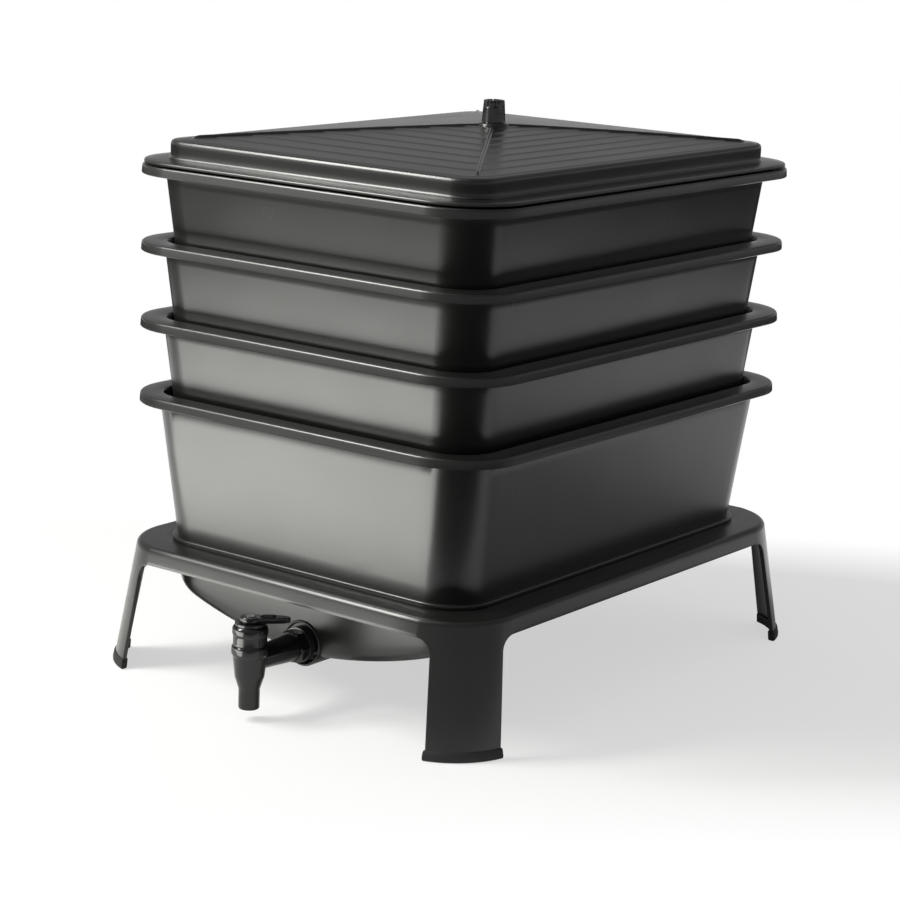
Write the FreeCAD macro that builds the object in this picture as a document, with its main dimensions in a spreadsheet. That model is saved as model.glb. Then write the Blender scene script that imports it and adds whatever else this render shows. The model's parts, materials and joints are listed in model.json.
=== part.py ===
import FreeCAD, Part
import math
import os
import re

import Sketcher
from FreeCAD import Placement, Rotation, Vector

# Stacking wormery: a four-legged stand with the liquid collector seated in its ring, three
# nesting worm trays and a stepped hip-roof lid with a knob, and a plug tap on the collector.
# Millimetres, +Z up, the floor at z = 0, the tap facing -Y. Everything is drawn about the
# middle of the stack and moved back at the end, so that the origin lies on the floor under
# the middle of the whole outline, tap included.

SIZES = [
    ("flange_width", 390, "across the tap face, outside the tray flanges"),
    ("flange_depth", 500, "from the tap face to the back, outside the flanges"),
    ("flange_corner", 56, "corner radius of the flanges in plan"),
    ("flange_height", 8, "turned-down lip of a flange"),
    ("flange_edge", 2.5, "rounding of a flange's upper edge"),
    ("wall", 3, "moulded wall thickness"),
    ("wall_inset", 20.5, "from a flange's edge to the wall just under it"),
    ("draft", 0.0963, "inward slope of the tray walls, per mm of height"),
    ("collector_level", 236, "underside of the collector's flange above the floor"),
    ("pitch", 66, "from one flange to the next in the stack"),
    ("tray_depth", 110, "from a tray's flange underside down to its base"),
    ("tray_bottom_edge", 4, "rounding of a tray's lower edge"),
    ("rib_thickness", 4, "stacking rib, across"),
    ("rib_reach", 15, "stacking rib, inward from the wall"),
    ("slot_length", 34, "drain slot in a tray base"),
    ("slot_width", 6, "drain slot in a tray base"),
    ("slot_pitch_x", 44, "drain slots, across"),
    ("slot_pitch_y", 34, "drain slots, front to back"),
    ("slot_columns", 6, "drain slots side by side"),
    ("slot_rows", 11, "rows of drain slots"),
    ("collector_inset", 18.6, "from the flange's edge to the collector wall under it"),
    ("shoulder_level", 96, "where the collector's slope ends and its sump begins"),
    ("shoulder_inset", 32.3, "from the flange's edge to the wall at that level"),
    ("sump_corner", 36, "upright corner radius of the sump"),
    ("sump_low", 40, "lowest line of the V-shaped base, outside"),
    ("sump_bend_out", 75, "half width of the V's shallow middle"),
    ("sump_bend_level", 51, "outside level at that bend"),
    ("sump_turn_out", 134, "half width where the base turns up into the wall"),
    ("sump_turn_level", 67, "outside level there"),
    ("bead_reach", 5, "seating bead round the collector that rests on the stand"),
    ("bead_height", 4, "seating bead"),
    ("ring_top", 112, "upper face of the stand ring"),
    ("ring_over", 2.6, "stand ring outside the flange outline"),
    ("ring_corner", 64, "corner radius of the stand ring"),
    ("ring_plate", 3.5, "thickness of the ring's top"),
    ("ring_opening", 28.5, "from the flange outline to the opening in the ring"),
    ("ring_edge", 3, "rounding of the ring's upper edge"),
    ("skirt_bottom", 97, "lower edge of the ring's skirt"),
    ("inner_lip", 104, "lower edge of the lip round the opening"),
    ("foot_over", 17, "legs outside the flange outline at the floor"),
    ("foot_corner", 66, "corner radius of the legs at the floor"),
    ("leg_wall", 4, "thickness of the shell legs"),
    ("front_gap_top", 160, "half width of the front gap at the skirt"),
    ("front_gap_floor", 169, "half width of the front gap at the floor"),
    ("side_gap_top", 203, "half length of the side gap at the skirt"),
    ("side_gap_floor", 217, "half length of the side gap at the floor"),
    ("gap_round", 14, "rounding where a leg meets the skirt"),
    ("leg_foot", 3, "lower end of a leg inside its foot pad"),
    ("pad_height", 9, "foot pad"),
    ("pad_wrap", 1.6, "foot pad thickness beside the leg"),
    ("lid_flange_inset", 2, "lid flange inside the tray flange's edge"),
    ("lid_flange_height", 3.5, "lid flange"),
    ("lid_rim_inset", 26, "from the tray flange's edge to the lid's upright rim"),
    ("lid_rim_height", 20.5, "from the tray flange up to the rim's top"),
    ("lid_rim_edge", 2.5, "rounding of the rim's upper edge"),
    ("lid_locator", 9, "skirt that drops inside the top tray"),
    ("roof_border", 5, "plain border between rim edge and first louvre"),
    ("roof_rise", 15.5, "from the rim's top to the roof's peak"),
    ("roof_bulge", 1.2, "power by which the roof rises faster near the rim"),
    ("peak_side", 18.5, "roof's peak and knob to the +X side of the middle"),
    ("roof_steps", 9, "louvre steps on each face of the roof"),
    ("roof_step_face", 1.1, "upright face of each louvre"),
    ("ridge_width", 5, "plain hip ridge"),
    ("ridge_height", 1.1, "hip ridge above the louvres"),
    ("ridge_foot", 0.07, "share of a hip left plain below the ridge's lower end"),
    ("knob_seat_radius", 13, "flat round seat of the knob"),
    ("knob_seat_height", 2, "seat above the roof's peak"),
    ("knob_foot_radius", 10.3, "knob at its foot"),
    ("knob_top_radius", 9.1, "knob at its top"),
    ("knob_height", 20, "knob"),
    ("knob_grooves", 8, "grooves round the knob's upper edge"),
    ("knob_screw_radius", 2.4, "screw that holds the knob"),
    ("tap_level", 51, "axis of the tap's barrel above the floor"),
    ("tap_reach", 67, "from the collector's face to the spout's axis"),
    ("boss_radius", 20, "round boss of the collector about the tap"),
    ("shank_radius", 9.4, "tap shank through the collector"),
    ("hole_radius", 9.8, "hole in the collector for the shank"),
    ("nut_flats", 28, "tap nut across its flats"),
    ("plug_radius", 10.4, "turning plug of the tap"),
    ("plug_clearance", 0.08, "radial running clearance of the plug"),
    ("waterway_radius", 6, "bore of the tap"),
    ("spout_radius", 8.9, "outside of the straight spout"),
    ("spout_end", 10, "lower end of the spout above the floor"),
    ("spout_straight", 17, "straight length of the spout"),
    ("flare_radius", 12.4, "spout where its flare turns steeper"),
    ("flare_height", 28, "that turn above the spout's end"),
    ("housing_radius", 14.2, "upright housing round the plug"),
    ("neck_radius", 9.5, "tap barrel beside the housing"),
    ("seal_wire", 0.95, "half the thickness of a sealing ring"),
    ("lever_length", 33, "tap lever from its pivot"),
    ("lever_angle", 41, "closed lever, from +X towards +Y, in degrees"),
]

doc = FreeCAD.newDocument("wormery")
sheet = doc.addObject("Spreadsheet::Sheet", "Sizes")
for row, (alias, amount, note) in enumerate(SIZES, 1):
    sheet.set(f"A{row}", alias)
    sheet.set(f"B{row}", str(amount))
    sheet.set(f"C{row}", note)
    sheet.setAlias(f"B{row}", alias)
doc.recompute()


NAMES = {entry[0] for entry in SIZES}


def cells(expression):
    """The expression with each size named as the sheet's own cell."""
    return re.sub(r"[a-z_]+", lambda word: f"Sizes.{word[0]}" if word[0] in NAMES else word[0],
                  expression)


def size(expression):
    """The value of an expression of named sizes."""
    return float(sheet.evalExpression(cells(expression)))


def bind(item, **expressions):
    """Drive an object's properties from the sheet."""
    for name, expression in expressions.items():
        item.setExpression(name.replace("__", "."), cells(expression))


def part(kind, name, **expressions):
    """A Part workbench object driven from the sheet."""
    item = doc.addObject(kind, name)
    bind(item, **expressions)
    return item


def fuse(name, *items):
    """The items joined into one shape."""
    item = doc.addObject("Part::MultiFuse", name)
    item.Shapes = list(items)
    return item


def common(name, first, second):
    """What the two items share."""
    item = doc.addObject("Part::MultiCommon", name)
    item.Shapes = [first, second]
    return item


def cut(name, base, tool):
    """The base without the tool."""
    item = doc.addObject("Part::Cut", name)
    item.Base = base
    item.Tool = tool
    return item


def new_body(name):
    """An empty PartDesign body."""
    return doc.addObject("PartDesign::Body", name)


def new_sketch(body, name, plane="XY_Plane", offset="0"):
    """A sketch on one of the body's own origin planes, moved along its normal."""
    sketch = body.newObject("Sketcher::SketchObject", name)
    support = next(item for item in body.Origin.OriginFeatures if item.Role == plane)
    sketch.AttachmentSupport = [(support, "")]
    sketch.MapMode = "FlatFace"
    bind(sketch, AttachmentOffset__Base__z=offset)
    return sketch


def draw_rounded(sketch, half_width, half_depth, corner):
    """A rectangle with round corners about the sketch's origin, held by three sizes."""
    a, b, r = size(half_width), size(half_depth), size(corner)
    start = sketch.GeometryCount
    corners = [(a - r, r - b, -90), (a - r, b - r, 0), (r - a, b - r, 90), (r - a, r - b, 180)]
    sides = [((r - a, -b), (a - r, -b)), ((a, r - b), (a, b - r)),
             ((a - r, b), (r - a, b)), ((-a, b - r), (-a, r - b))]
    for (first, last), (x, y, turn) in zip(sides, corners):
        sketch.addGeometry(Part.LineSegment(Vector(*first, 0), Vector(*last, 0)))
        circle = Part.Circle(Vector(x, y, 0), Vector(0, 0, 1), r)
        angle = math.radians(turn)
        sketch.addGeometry(Part.ArcOfCircle(circle, angle, angle + math.pi / 2))
    order = [start + step for step in range(8)]
    rules = [Sketcher.Constraint("Tangent", first, 2, second, 1)
             for first, second in zip(order, order[1:] + order[:1])]
    rules += [Sketcher.Constraint("Symmetric", order[0], 1, order[0], 2, -2),
              Sketcher.Constraint("Symmetric", order[2], 1, order[2], 2, -1),
              Sketcher.Constraint("Horizontal", order[4]),
              Sketcher.Constraint("Vertical", order[6])]
    rules += [Sketcher.Constraint("Equal", order[1], other) for other in order[3::2]]
    sketch.addConstraint(rules)
    dimensions = [("DistanceX", (-1, 1, order[2], 1), a, "half_width", half_width),
                  ("DistanceY", (order[0], 1, -1, 1), b, "half_depth", half_depth),
                  ("Radius", (order[1],), r, "corner", corner)]
    for kind, places, amount, name, expression in dimensions:
        index = sketch.addConstraint(Sketcher.Constraint(kind, *places, amount))
        name = f"{name}_{start}"
        sketch.renameConstraint(index, name)
        sketch.setExpression(f"Constraints.{name}", cells(expression))


def rounded(body, name, level, half_width, half_depth, corner):
    """A sketch at a level with one rectangle with round corners."""
    sketch = new_sketch(body, name, "XY_Plane", level)
    draw_rounded(sketch, half_width, half_depth, corner)
    return sketch


def plan(inset, corner="flange_corner"):
    """Half width, half depth and corner radius of the flange outline moved inward."""
    return (f"flange_width / 2 - ({inset})", f"flange_depth / 2 - ({inset})", corner)


def polygon(body, name, plane, points):
    """A closed sketch of straight lines through points, each a pair of size expressions."""
    sketch = new_sketch(body, name, plane)
    places = [Vector(size(x), size(y), 0) for x, y in points]
    count = len(places)
    for index in range(count):
        sketch.addGeometry(Part.LineSegment(places[index], places[(index + 1) % count]))
    for index in range(count):
        sketch.addConstraint(Sketcher.Constraint("Coincident", index, 2, (index + 1) % count, 1))
    for index, pair in enumerate(points):
        for kind, amount, expression in (("DistanceX", places[index].x, pair[0]),
                                         ("DistanceY", places[index].y, pair[1])):
            rule = Sketcher.Constraint(kind, -1, 1, index, 1, amount)
            number = sketch.addConstraint(rule)
            name = f"{'x' if kind == 'DistanceX' else 'y'}_{index}"
            sketch.renameConstraint(number, name)
            sketch.setExpression(f"Constraints.{name}", cells(expression))
    return sketch


def loft(body, name, kind, first, second):
    """A ruled loft between two sketches, added to the body or taken from it by its kind."""
    item = body.newObject(f"PartDesign::{kind}", name)
    item.Profile = first
    item.Sections = [second]
    item.Ruled = True
    return item


def pad(body, name, sketch, length, midplane=False, reversed_way=False):
    """The sketch's outline, drawn out into the body."""
    item = body.newObject("PartDesign::Pad", name)
    item.Profile = sketch
    item.Midplane = midplane
    item.Reversed = reversed_way
    bind(item, Length=length)
    return item


def pocket(body, name, sketch, length, midplane=False, reversed_way=False):
    """The sketch's outline, cut into the body."""
    item = body.newObject("PartDesign::Pocket", name)
    item.Profile = sketch
    item.Midplane = midplane
    item.Reversed = reversed_way
    bind(item, Length=length)
    return item


def edges_where(shape, test):
    """Names of the edges whose middle passes the test."""
    names = []
    for number, edge in enumerate(shape.Edges, 1):
        middle = edge.valueAt((edge.FirstParameter + edge.LastParameter) / 2)
        if test(middle, edge):
            names.append(f"Edge{number}")
    return names


def round_edges(body, name, base, radius, test):
    """Rounds those edges of the base whose middle passes the test."""
    doc.recompute()
    item = body.newObject("PartDesign::Fillet", name)
    item.Base = (base, edges_where(base.Shape, test))
    bind(item, Radius=radius)
    return item


def add_flange(body, prefix, level):
    """Flange of a tray or collector: a plate with a turned-down lip, its underside at level."""
    outline = rounded(body, f"{prefix}_flange_outline", level, *plan("0"))
    pad(body, f"{prefix}_flange", outline, "flange_height")
    channel = rounded(body, f"{prefix}_channel_outline", level,
                      *plan("wall", "flange_corner - wall"))
    return pocket(body, f"{prefix}_channel", channel, "flange_height - wall", reversed_way=True)


def add_basin(body, prefix, low, low_inset, high, high_inset):
    """A solid block with sloping sides between two levels, each inset from the flange."""
    bottom = rounded(body, f"{prefix}_low", low, *plan(low_inset, "sump_corner"))
    top = rounded(body, f"{prefix}_high", high, *plan(high_inset, "sump_corner"))
    return loft(body, f"{prefix}_block", "AdditiveLoft", bottom, top)


def stacking_ribs(prefix, level, height):
    """Upright ribs on the inside walls; the base of the tray above rests on them."""
    ribs = []
    reach = "(wall_inset + draft * tray_depth + rib_reach)"
    for side, turn in (("left", -1), ("right", 1)):
        for number, place in enumerate((-0.56, 0, 0.56), 1):
            ribs.append(part(
                "Part::Box", f"{prefix}_{side}_rib_{number}",
                Length=f"{reach}", Width="rib_thickness", Height=height,
                Placement__Base__x=(f"{turn} * flange_width / 2" if turn < 0
                                    else f"flange_width / 2 - {reach}"),
                Placement__Base__y=f"{place} * flange_depth / 2 - rib_thickness / 2",
                Placement__Base__z=level))
    for side, turn in (("front", -1), ("back", 1)):
        for number, place in enumerate((-0.48, 0.48), 1):
            ribs.append(part(
                "Part::Box", f"{prefix}_{side}_rib_{number}",
                Length="rib_thickness", Width=f"{reach}", Height=height,
                Placement__Base__x=f"{place} * flange_width / 2 - rib_thickness / 2",
                Placement__Base__y=(f"{turn} * flange_depth / 2" if turn < 0
                                    else f"flange_depth / 2 - {reach}"),
                Placement__Base__z=level))
    return fuse(f"{prefix}_ribs", *ribs)


def round_outer_edge(body, name, base, radius, level, half_width, half_depth, corner):
    """Rounds the outer edge of the rounded plate whose upper face lies at level."""
    top, reach = size(level), size(corner)
    straight_x, straight_y = size(half_width) - reach, size(half_depth) - reach

    def outer(place, edge):
        beyond = math.hypot(max(abs(place.x) - straight_x, 0), max(abs(place.y) - straight_y, 0))
        return abs(place.z - top) < 0.01 and abs(beyond - reach) < 0.5

    return round_edges(body, name, base, radius, outer)


def round_flange(body, name, base, level):
    """Rounds the upper outer edge of a flange."""
    return round_outer_edge(body, name, base, "flange_edge", f"{level} + flange_height",
                            *plan("0"))


def slot_corners():
    """The first drain slot, at one corner of the field of slots."""
    left = "-(slot_columns - 1) * slot_pitch_x / 2 - slot_length / 2"
    low = "-(slot_rows - 1) * slot_pitch_y / 2 - slot_width / 2"
    right, high = f"{left} + slot_length", f"{low} + slot_width"
    return [(left, low), (right, low), (right, high), (left, high)]


def add_slot_field(body, level):
    """Drain slots sunk from below, repeated across and along the base."""
    outline = polygon(body, "slot_outline", "XY_Plane", slot_corners())
    bind(outline, AttachmentOffset__Base__z=level)
    first = pocket(body, "slot", outline, "wall + 1", reversed_way=True)
    field = body.newObject("PartDesign::LinearPattern", "slot_field")
    field.Originals = [first]
    field.Direction = (outline, ["H_Axis"])
    field.Direction2 = (outline, ["V_Axis"])
    bind(field, Length="(slot_columns - 1) * slot_pitch_x", Occurrences="slot_columns",
         Length2="(slot_rows - 1) * slot_pitch_y", Occurrences2="slot_rows")
    body.Tip = field


def build_tray_form():
    """One tray about its own flange underside: flange, sloping walls, slotted base, ribs."""
    base, base_inset = "-tray_depth", "wall_inset + draft * tray_depth"
    outer = new_body("tray_outer")
    add_flange(outer, "tray", "0")
    block = add_basin(outer, "tray_outside", base, base_inset,
                      "flange_height", "wall_inset - draft * flange_height")
    rim = round_flange(outer, "tray_rim", block, "0")
    low = -size("tray_depth")
    round_edges(outer, "tray_foot", rim, "tray_bottom_edge", lambda p, e: p.z < low + 0.01)
    add_slot_field(outer, base)
    hollow = new_body("tray_hollow")
    add_basin(hollow, "tray_inside", f"{base} + wall", f"{base_inset} + wall - draft * wall",
              "flange_height + 1", "wall_inset + wall - draft * (flange_height + 1)")
    shell = cut("tray_shell", outer, hollow)
    ribs = stacking_ribs("tray", f"{base} + wall", "pitch - wall")
    return fuse("tray_form", shell, common("tray_ribs_trimmed", ribs, outer))


def build_trays(form):
    """Three equal trays, the first on top."""
    trays = []
    for number in (1, 2, 3):
        tray = part("Part::Compound", f"tray_{number}",
                    Placement__Base__z=f"collector_level + {4 - number} * pitch")
        tray.Links = [form]
        trays.append(tray)
    return trays


SLOPE = "(shoulder_inset - collector_inset) / (collector_level - shoulder_level)"
FRONT_WALL = "(flange_depth / 2 - shoulder_inset)"
BOSS_FACE = "(flange_depth / 2 - shoulder_inset + 2)"
SUMP_SIDE = "flange_width / 2"


def sump_profile(lift):
    """What lies under the V-shaped base, seen from the front, raised by lift."""
    steep = "(sump_turn_level - sump_bend_level) / (sump_turn_out - sump_bend_out) * 1.9"
    side_level = f"sump_turn_level + ({SUMP_SIDE} - sump_turn_out) * {steep} + {lift}"
    under = "sump_low - 20"
    right = [(SUMP_SIDE, under), (SUMP_SIDE, side_level),
             ("sump_turn_out", f"sump_turn_level + {lift}"),
             ("sump_bend_out", f"sump_bend_level + {lift}")]
    left = [(f"-({x})", z) for x, z in reversed(right)]
    return right + [("0", f"sump_low + {lift}")] + left


def add_sump(body, prefix, thickness):
    """The sump under the shoulder: an upright block trimmed to a V below."""
    outline = rounded(body, f"{prefix}_outline", "shoulder_level",
                      *plan(f"shoulder_inset + {thickness}", f"sump_corner - {thickness}"))
    pad(body, f"{prefix}_block", outline, "shoulder_level - sump_low", reversed_way=True)
    under = polygon(body, f"{prefix}_under", "XZ_Plane", sump_profile(thickness))
    return pocket(body, f"{prefix}_base", under, "flange_depth", midplane=True)


def bar(name, radius, start, length, radius_2=None, along="Y"):
    """A round bar or cone: along Y it starts at y = -start and runs towards -Y."""
    if radius_2 is None:
        item = part("Part::Cylinder", name, Radius=radius, Height=length)
    else:
        item = part("Part::Cone", name, Radius1=radius, Radius2=radius_2, Height=length)
    if along == "Y":
        item.Placement = Placement(Vector(), Rotation(Vector(1, 0, 0), 90))
        bind(item, Placement__Base__y=f"-({start})", Placement__Base__z="tap_level")
    else:
        bind(item, Placement__Base__y=f"-({FRONT_WALL} + tap_reach)", Placement__Base__z=start)
    return item


def build_collector():
    """The liquid collector: sloping walls, a V-shaped sump and a boss for the tap."""
    top_inset = f"collector_inset - {SLOPE} * flange_height"
    outer = new_body("collector_outer")
    add_flange(outer, "collector", "collector_level")
    block = add_basin(outer, "collector_outside", "shoulder_level", "shoulder_inset",
                      "collector_level + flange_height", top_inset)
    round_flange(outer, "collector_rim", block, "collector_level")
    bead_inset = f"shoulder_inset - {SLOPE} * (ring_top - shoulder_level) - bead_reach"
    bead = rounded(outer, "bead_outline", "ring_top", *plan(bead_inset, "sump_corner + bead_reach"))
    pad(outer, "seating_bead", bead, "bead_height")
    add_sump(outer, "sump", "0")
    boss = bar("tap_boss", "boss_radius", f"{FRONT_WALL} - 48", "50")
    solid = fuse("collector_solid", outer, boss)
    hollow = new_body("collector_hollow")
    add_basin(hollow, "collector_inside", "shoulder_level", "shoulder_inset + wall",
              "collector_level + flange_height + 1", f"{top_inset} + wall - {SLOPE}")
    add_sump(hollow, "sump_inside", "wall")
    well = bar("nut_well", "boss_radius - wall", f"{FRONT_WALL} - 45", "45 - wall")
    hole = bar("tap_hole", "hole_radius", f"{FRONT_WALL} - 20", "30")
    shell = cut("collector_shell", solid, fuse("collector_voids", hollow, well, hole))
    ribs = stacking_ribs("collector", "sump_low", "collector_level + pitch - tray_depth - sump_low")
    return fuse("collector", shell, common("collector_ribs_trimmed", ribs, outer))


def build_stand():
    """Stand in one moulding: a ring with a skirt and four tapering shell legs."""
    stand = new_body("stand")
    low = rounded(stand, "legs_low", "leg_foot", *plan("-foot_over", "foot_corner"))
    high = rounded(stand, "legs_high", "ring_top", *plan("-ring_over", "ring_corner"))
    loft(stand, "legs_outside", "AdditiveLoft", low, high)
    inner_low = rounded(stand, "inside_low", "leg_foot",
                        *plan("leg_wall - foot_over", "foot_corner - leg_wall"))
    inner_high = rounded(stand, "inside_high", "ring_top - ring_plate",
                         *plan("leg_wall - ring_over", "ring_corner - leg_wall"))
    loft(stand, "legs_inside", "SubtractiveLoft", inner_low, inner_high)
    lip = rounded(stand, "lip_outline", "inner_lip",
                  *plan("ring_opening - wall", "sump_corner + wall"))
    pad(stand, "lip", lip, "ring_top - inner_lip")
    opening = rounded(stand, "opening_outline", "ring_top", *plan("ring_opening", "sump_corner"))
    pocket(stand, "opening", opening, "ring_top - inner_lip + 1")
    front = gap_outline(stand, "front", "XZ_Plane")
    pocket(stand, "front_gap", front, "2 * flange_depth", midplane=True)
    side = gap_outline(stand, "side", "YZ_Plane")
    last = pocket(stand, "side_gap", side, "2 * flange_depth", midplane=True)
    round_outer_edge(stand, "ring_round", last, "ring_edge", "ring_top",
                     *plan("-ring_over", "ring_corner"))
    return stand


def gap_outline(body, side, plane):
    """The gap between two legs: it widens towards the floor and has round upper corners."""
    wide, narrow = size(f"{side}_gap_floor"), size(f"{side}_gap_top")
    high, radius = size("skirt_bottom"), size("gap_round")
    lean = math.atan2(wide - narrow, high)
    centre_x = narrow - radius * (1 - math.sin(lean)) / math.cos(lean)
    centre = Vector(centre_x, high - radius, 0)
    touch = centre + Vector(math.cos(lean), math.sin(lean), 0) * radius
    axis = Vector(0, 0, 1)
    mirror = Vector(-centre.x, centre.y, 0)
    sketch = new_sketch(body, f"{side}_gap_outline", plane)
    sketch.addGeometry([
        Part.LineSegment(Vector(-wide, 0, 0), Vector(wide, 0, 0)),
        Part.LineSegment(Vector(wide, 0, 0), touch),
        Part.ArcOfCircle(Part.Circle(centre, axis, radius), lean, math.pi / 2),
        Part.LineSegment(Vector(centre.x, high, 0), Vector(mirror.x, high, 0)),
        Part.ArcOfCircle(Part.Circle(mirror, axis, radius), math.pi / 2, math.pi - lean),
        Part.LineSegment(Vector(-touch.x, touch.y, 0), Vector(-wide, 0, 0)),
    ])
    sketch.addConstraint([
        Sketcher.Constraint("Coincident", 0, 2, 1, 1),
        Sketcher.Constraint("Tangent", 1, 2, 2, 1),
        Sketcher.Constraint("Tangent", 2, 2, 3, 1),
        Sketcher.Constraint("Tangent", 3, 2, 4, 1),
        Sketcher.Constraint("Tangent", 4, 2, 5, 1),
        Sketcher.Constraint("Coincident", 5, 2, 0, 1),
        Sketcher.Constraint("Symmetric", 0, 1, 0, 2, -2),
        Sketcher.Constraint("Symmetric", 3, 1, 3, 2, -2),
        Sketcher.Constraint("Equal", 2, 4),
        Sketcher.Constraint("PointOnObject", 0, 1, -1),
    ])
    held = [(("Radius", 2, radius), "corner", "gap_round"),
            (("DistanceY", -1, 1, 3, 1, high), "height", "skirt_bottom"),
            (("DistanceX", -1, 1, 0, 2, wide), "floor", f"{side}_gap_floor"),
            (("DistanceX", -1, 1, 3, 1, centre.x), "crown", gap_crown(side))]
    for arguments, name, expression in held:
        index = sketch.addConstraint(Sketcher.Constraint(*arguments))
        sketch.renameConstraint(index, name)
        sketch.setExpression(f"Constraints.{name}", cells(expression))
    return sketch


def gap_crown(side):
    """Half length of the gap's straight upper edge, between its round corners."""
    lean = f"atan(({side}_gap_floor - {side}_gap_top) / skirt_bottom)"
    return f"{side}_gap_top - gap_round * (1 - sin({lean})) / cos({lean})"


def build_foot_pads(stand):
    """Four soft pads that wrap the lower ends of the legs."""
    slope = "(foot_over - ring_over) / (ring_top - leg_foot)"
    ring = new_body("foot_ring")
    over = "-(foot_over + pad_wrap)"
    low = rounded(ring, "pad_low", "0", *plan(over, "foot_corner + pad_wrap"))
    high = rounded(ring, "pad_high", "pad_height",
                   *plan(f"{over} + {slope} * pad_height", "foot_corner + pad_wrap"))
    loft(ring, "pad_outside", "AdditiveLoft", low, high)
    under = "leg_wall + pad_wrap - foot_over"
    in_low = rounded(ring, "pad_in_low", "0", *plan(under, "foot_corner - leg_wall"))
    in_high = rounded(ring, "pad_in_high", "pad_height",
                      *plan(f"{under} + {slope} * pad_height", "foot_corner - leg_wall"))
    loft(ring, "pad_inside", "SubtractiveLoft", in_low, in_high)
    pads = []
    length, depth = "flange_width / 2 - front_gap_floor + 40", "flange_depth / 2 - side_gap_floor + 40"
    for front, turn_y in (("front", -1), ("back", 1)):
        for side, turn_x in (("left", -1), ("right", 1)):
            place = f"{front}_{side}"
            box = part("Part::Box", f"{place}_corner", Length=length, Width=depth,
                       Height="pad_height",
                       Placement__Base__x=("front_gap_floor - pad_wrap - 1" if turn_x > 0 else
                                           f"pad_wrap + 1 - front_gap_floor - ({length})"),
                       Placement__Base__y=("side_gap_floor - pad_wrap - 1" if turn_y > 0 else
                                           f"pad_wrap + 1 - side_gap_floor - ({depth})"))
            blank = common(f"{place}_pad_blank", ring, box)
            pads.append(cut(f"foot_pad_{place}", blank, stand))
    return pads


LID_LEVEL = "(collector_level + 3 * pitch + flange_height)"
RIM_TOP = f"({LID_LEVEL} + lid_rim_height)"
PEAK = f"({RIM_TOP} + roof_rise)"
KNOB_SEAT = f"({PEAK} + knob_seat_height)"


def roof_fraction(step):
    """Share of the way from the border to the peak, and the share of the rise there."""
    share = f"({step} / roof_steps)"
    return share, f"(1 - (1 - {share}) ^ roof_bulge)"


def hipped_block(name, low, high, base_share, top_share, inset):
    """A block with a rectangular base that narrows upward, towards the peak of the roof."""
    half_width = f"(flange_width / 2 - ({inset}))"
    half_depth = f"(flange_depth / 2 - ({inset}))"
    base_middle, top_middle = (f"peak_side * (1 - {share})" for share in (base_share, top_share))
    item = part("Part::Wedge", name,
                Xmin=f"{base_middle} - {half_width} * {base_share}",
                Xmax=f"{base_middle} + {half_width} * {base_share}",
                Zmin=f"-{half_depth} * {base_share}", Zmax=f"{half_depth} * {base_share}",
                X2min=f"{top_middle} - {half_width} * {top_share}",
                X2max=f"{top_middle} + {half_width} * {top_share}",
                Z2min=f"-{half_depth} * {top_share}", Z2max=f"{half_depth} * {top_share}",
                Ymin=low, Ymax=high)
    item.Placement = Placement(Vector(), Rotation(Vector(1, 0, 0), 90))
    return item


def build_roof():
    """The stepped roof: each louvre is an upright face and a slope up to the next."""
    border = "lid_rim_inset + roof_border"
    blocks = []
    for step in range(round(size("roof_steps"))):
        share, rise = roof_fraction(step)
        next_share, next_rise = roof_fraction(step + 1)
        low = f"{RIM_TOP} + roof_rise * {rise} + roof_step_face"
        blocks.append(hipped_block(f"louvre_face_{step}", f"{RIM_TOP} - 2", low,
                                   f"(1 - {share})", f"(1 - {share})", border))
        blocks.append(hipped_block(f"louvre_slope_{step}", low,
                                   f"{RIM_TOP} + roof_rise * {next_rise} + 0.01",
                                   f"(1 - {share})", f"(1.002 - {next_share})", border))
    return fuse("roof", *blocks)


def hip_ridge(corner):
    """One plain ridge from the peak down the hip to a corner of the roof's border."""
    peak = Vector(size("peak_side"), 0, 0)
    hip = corner - peak
    low, rise, foot = size(RIM_TOP), size("roof_rise"), size("ridge_foot")
    over = size("roof_step_face + ridge_height")
    half = size("ridge_width") / 2
    count = 2 * round(size("roof_steps"))
    shares = [foot + (1 - foot) * step / count for step in range(count)]
    crest = [Vector(hip.Length * (1 - share), 0,
                    low + rise * (1 - (1 - share) ** size("roof_bulge")) + over)
             for share in shares]
    outline = [Vector(crest[0].x, 0, low - 2)] + crest + [Vector(0, 0, crest[-1].z),
                                                          Vector(0, 0, low - 2)]
    face = Part.Face(Part.makePolygon(outline + outline[:1]))
    face.translate(Vector(0, -half, 0))
    end = Part.makeCylinder(half, crest[0].z - low + 2, Vector(crest[0].x, 0, low - 2))
    ridge = face.extrude(Vector(0, 2 * half, 0)).fuse(end)
    ridge.rotate(Vector(), Vector(0, 0, 1), math.degrees(math.atan2(hip.y, hip.x)))
    ridge.translate(peak)
    return ridge


def build_ridges():
    """Plain ridges over the four hips, following the rise of the louvres."""
    border = size("lid_rim_inset + roof_border")
    x, y = size("flange_width") / 2 - border, size("flange_depth") / 2 - border
    ridges = [hip_ridge(Vector(x * turn_x, y * turn_y, 0))
              for turn_x in (1, -1) for turn_y in (1, -1)]
    item = doc.addObject("Part::Feature", "hip_ridges")
    item.Shape = ridges[0].fuse(ridges[1:])
    return item


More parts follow.
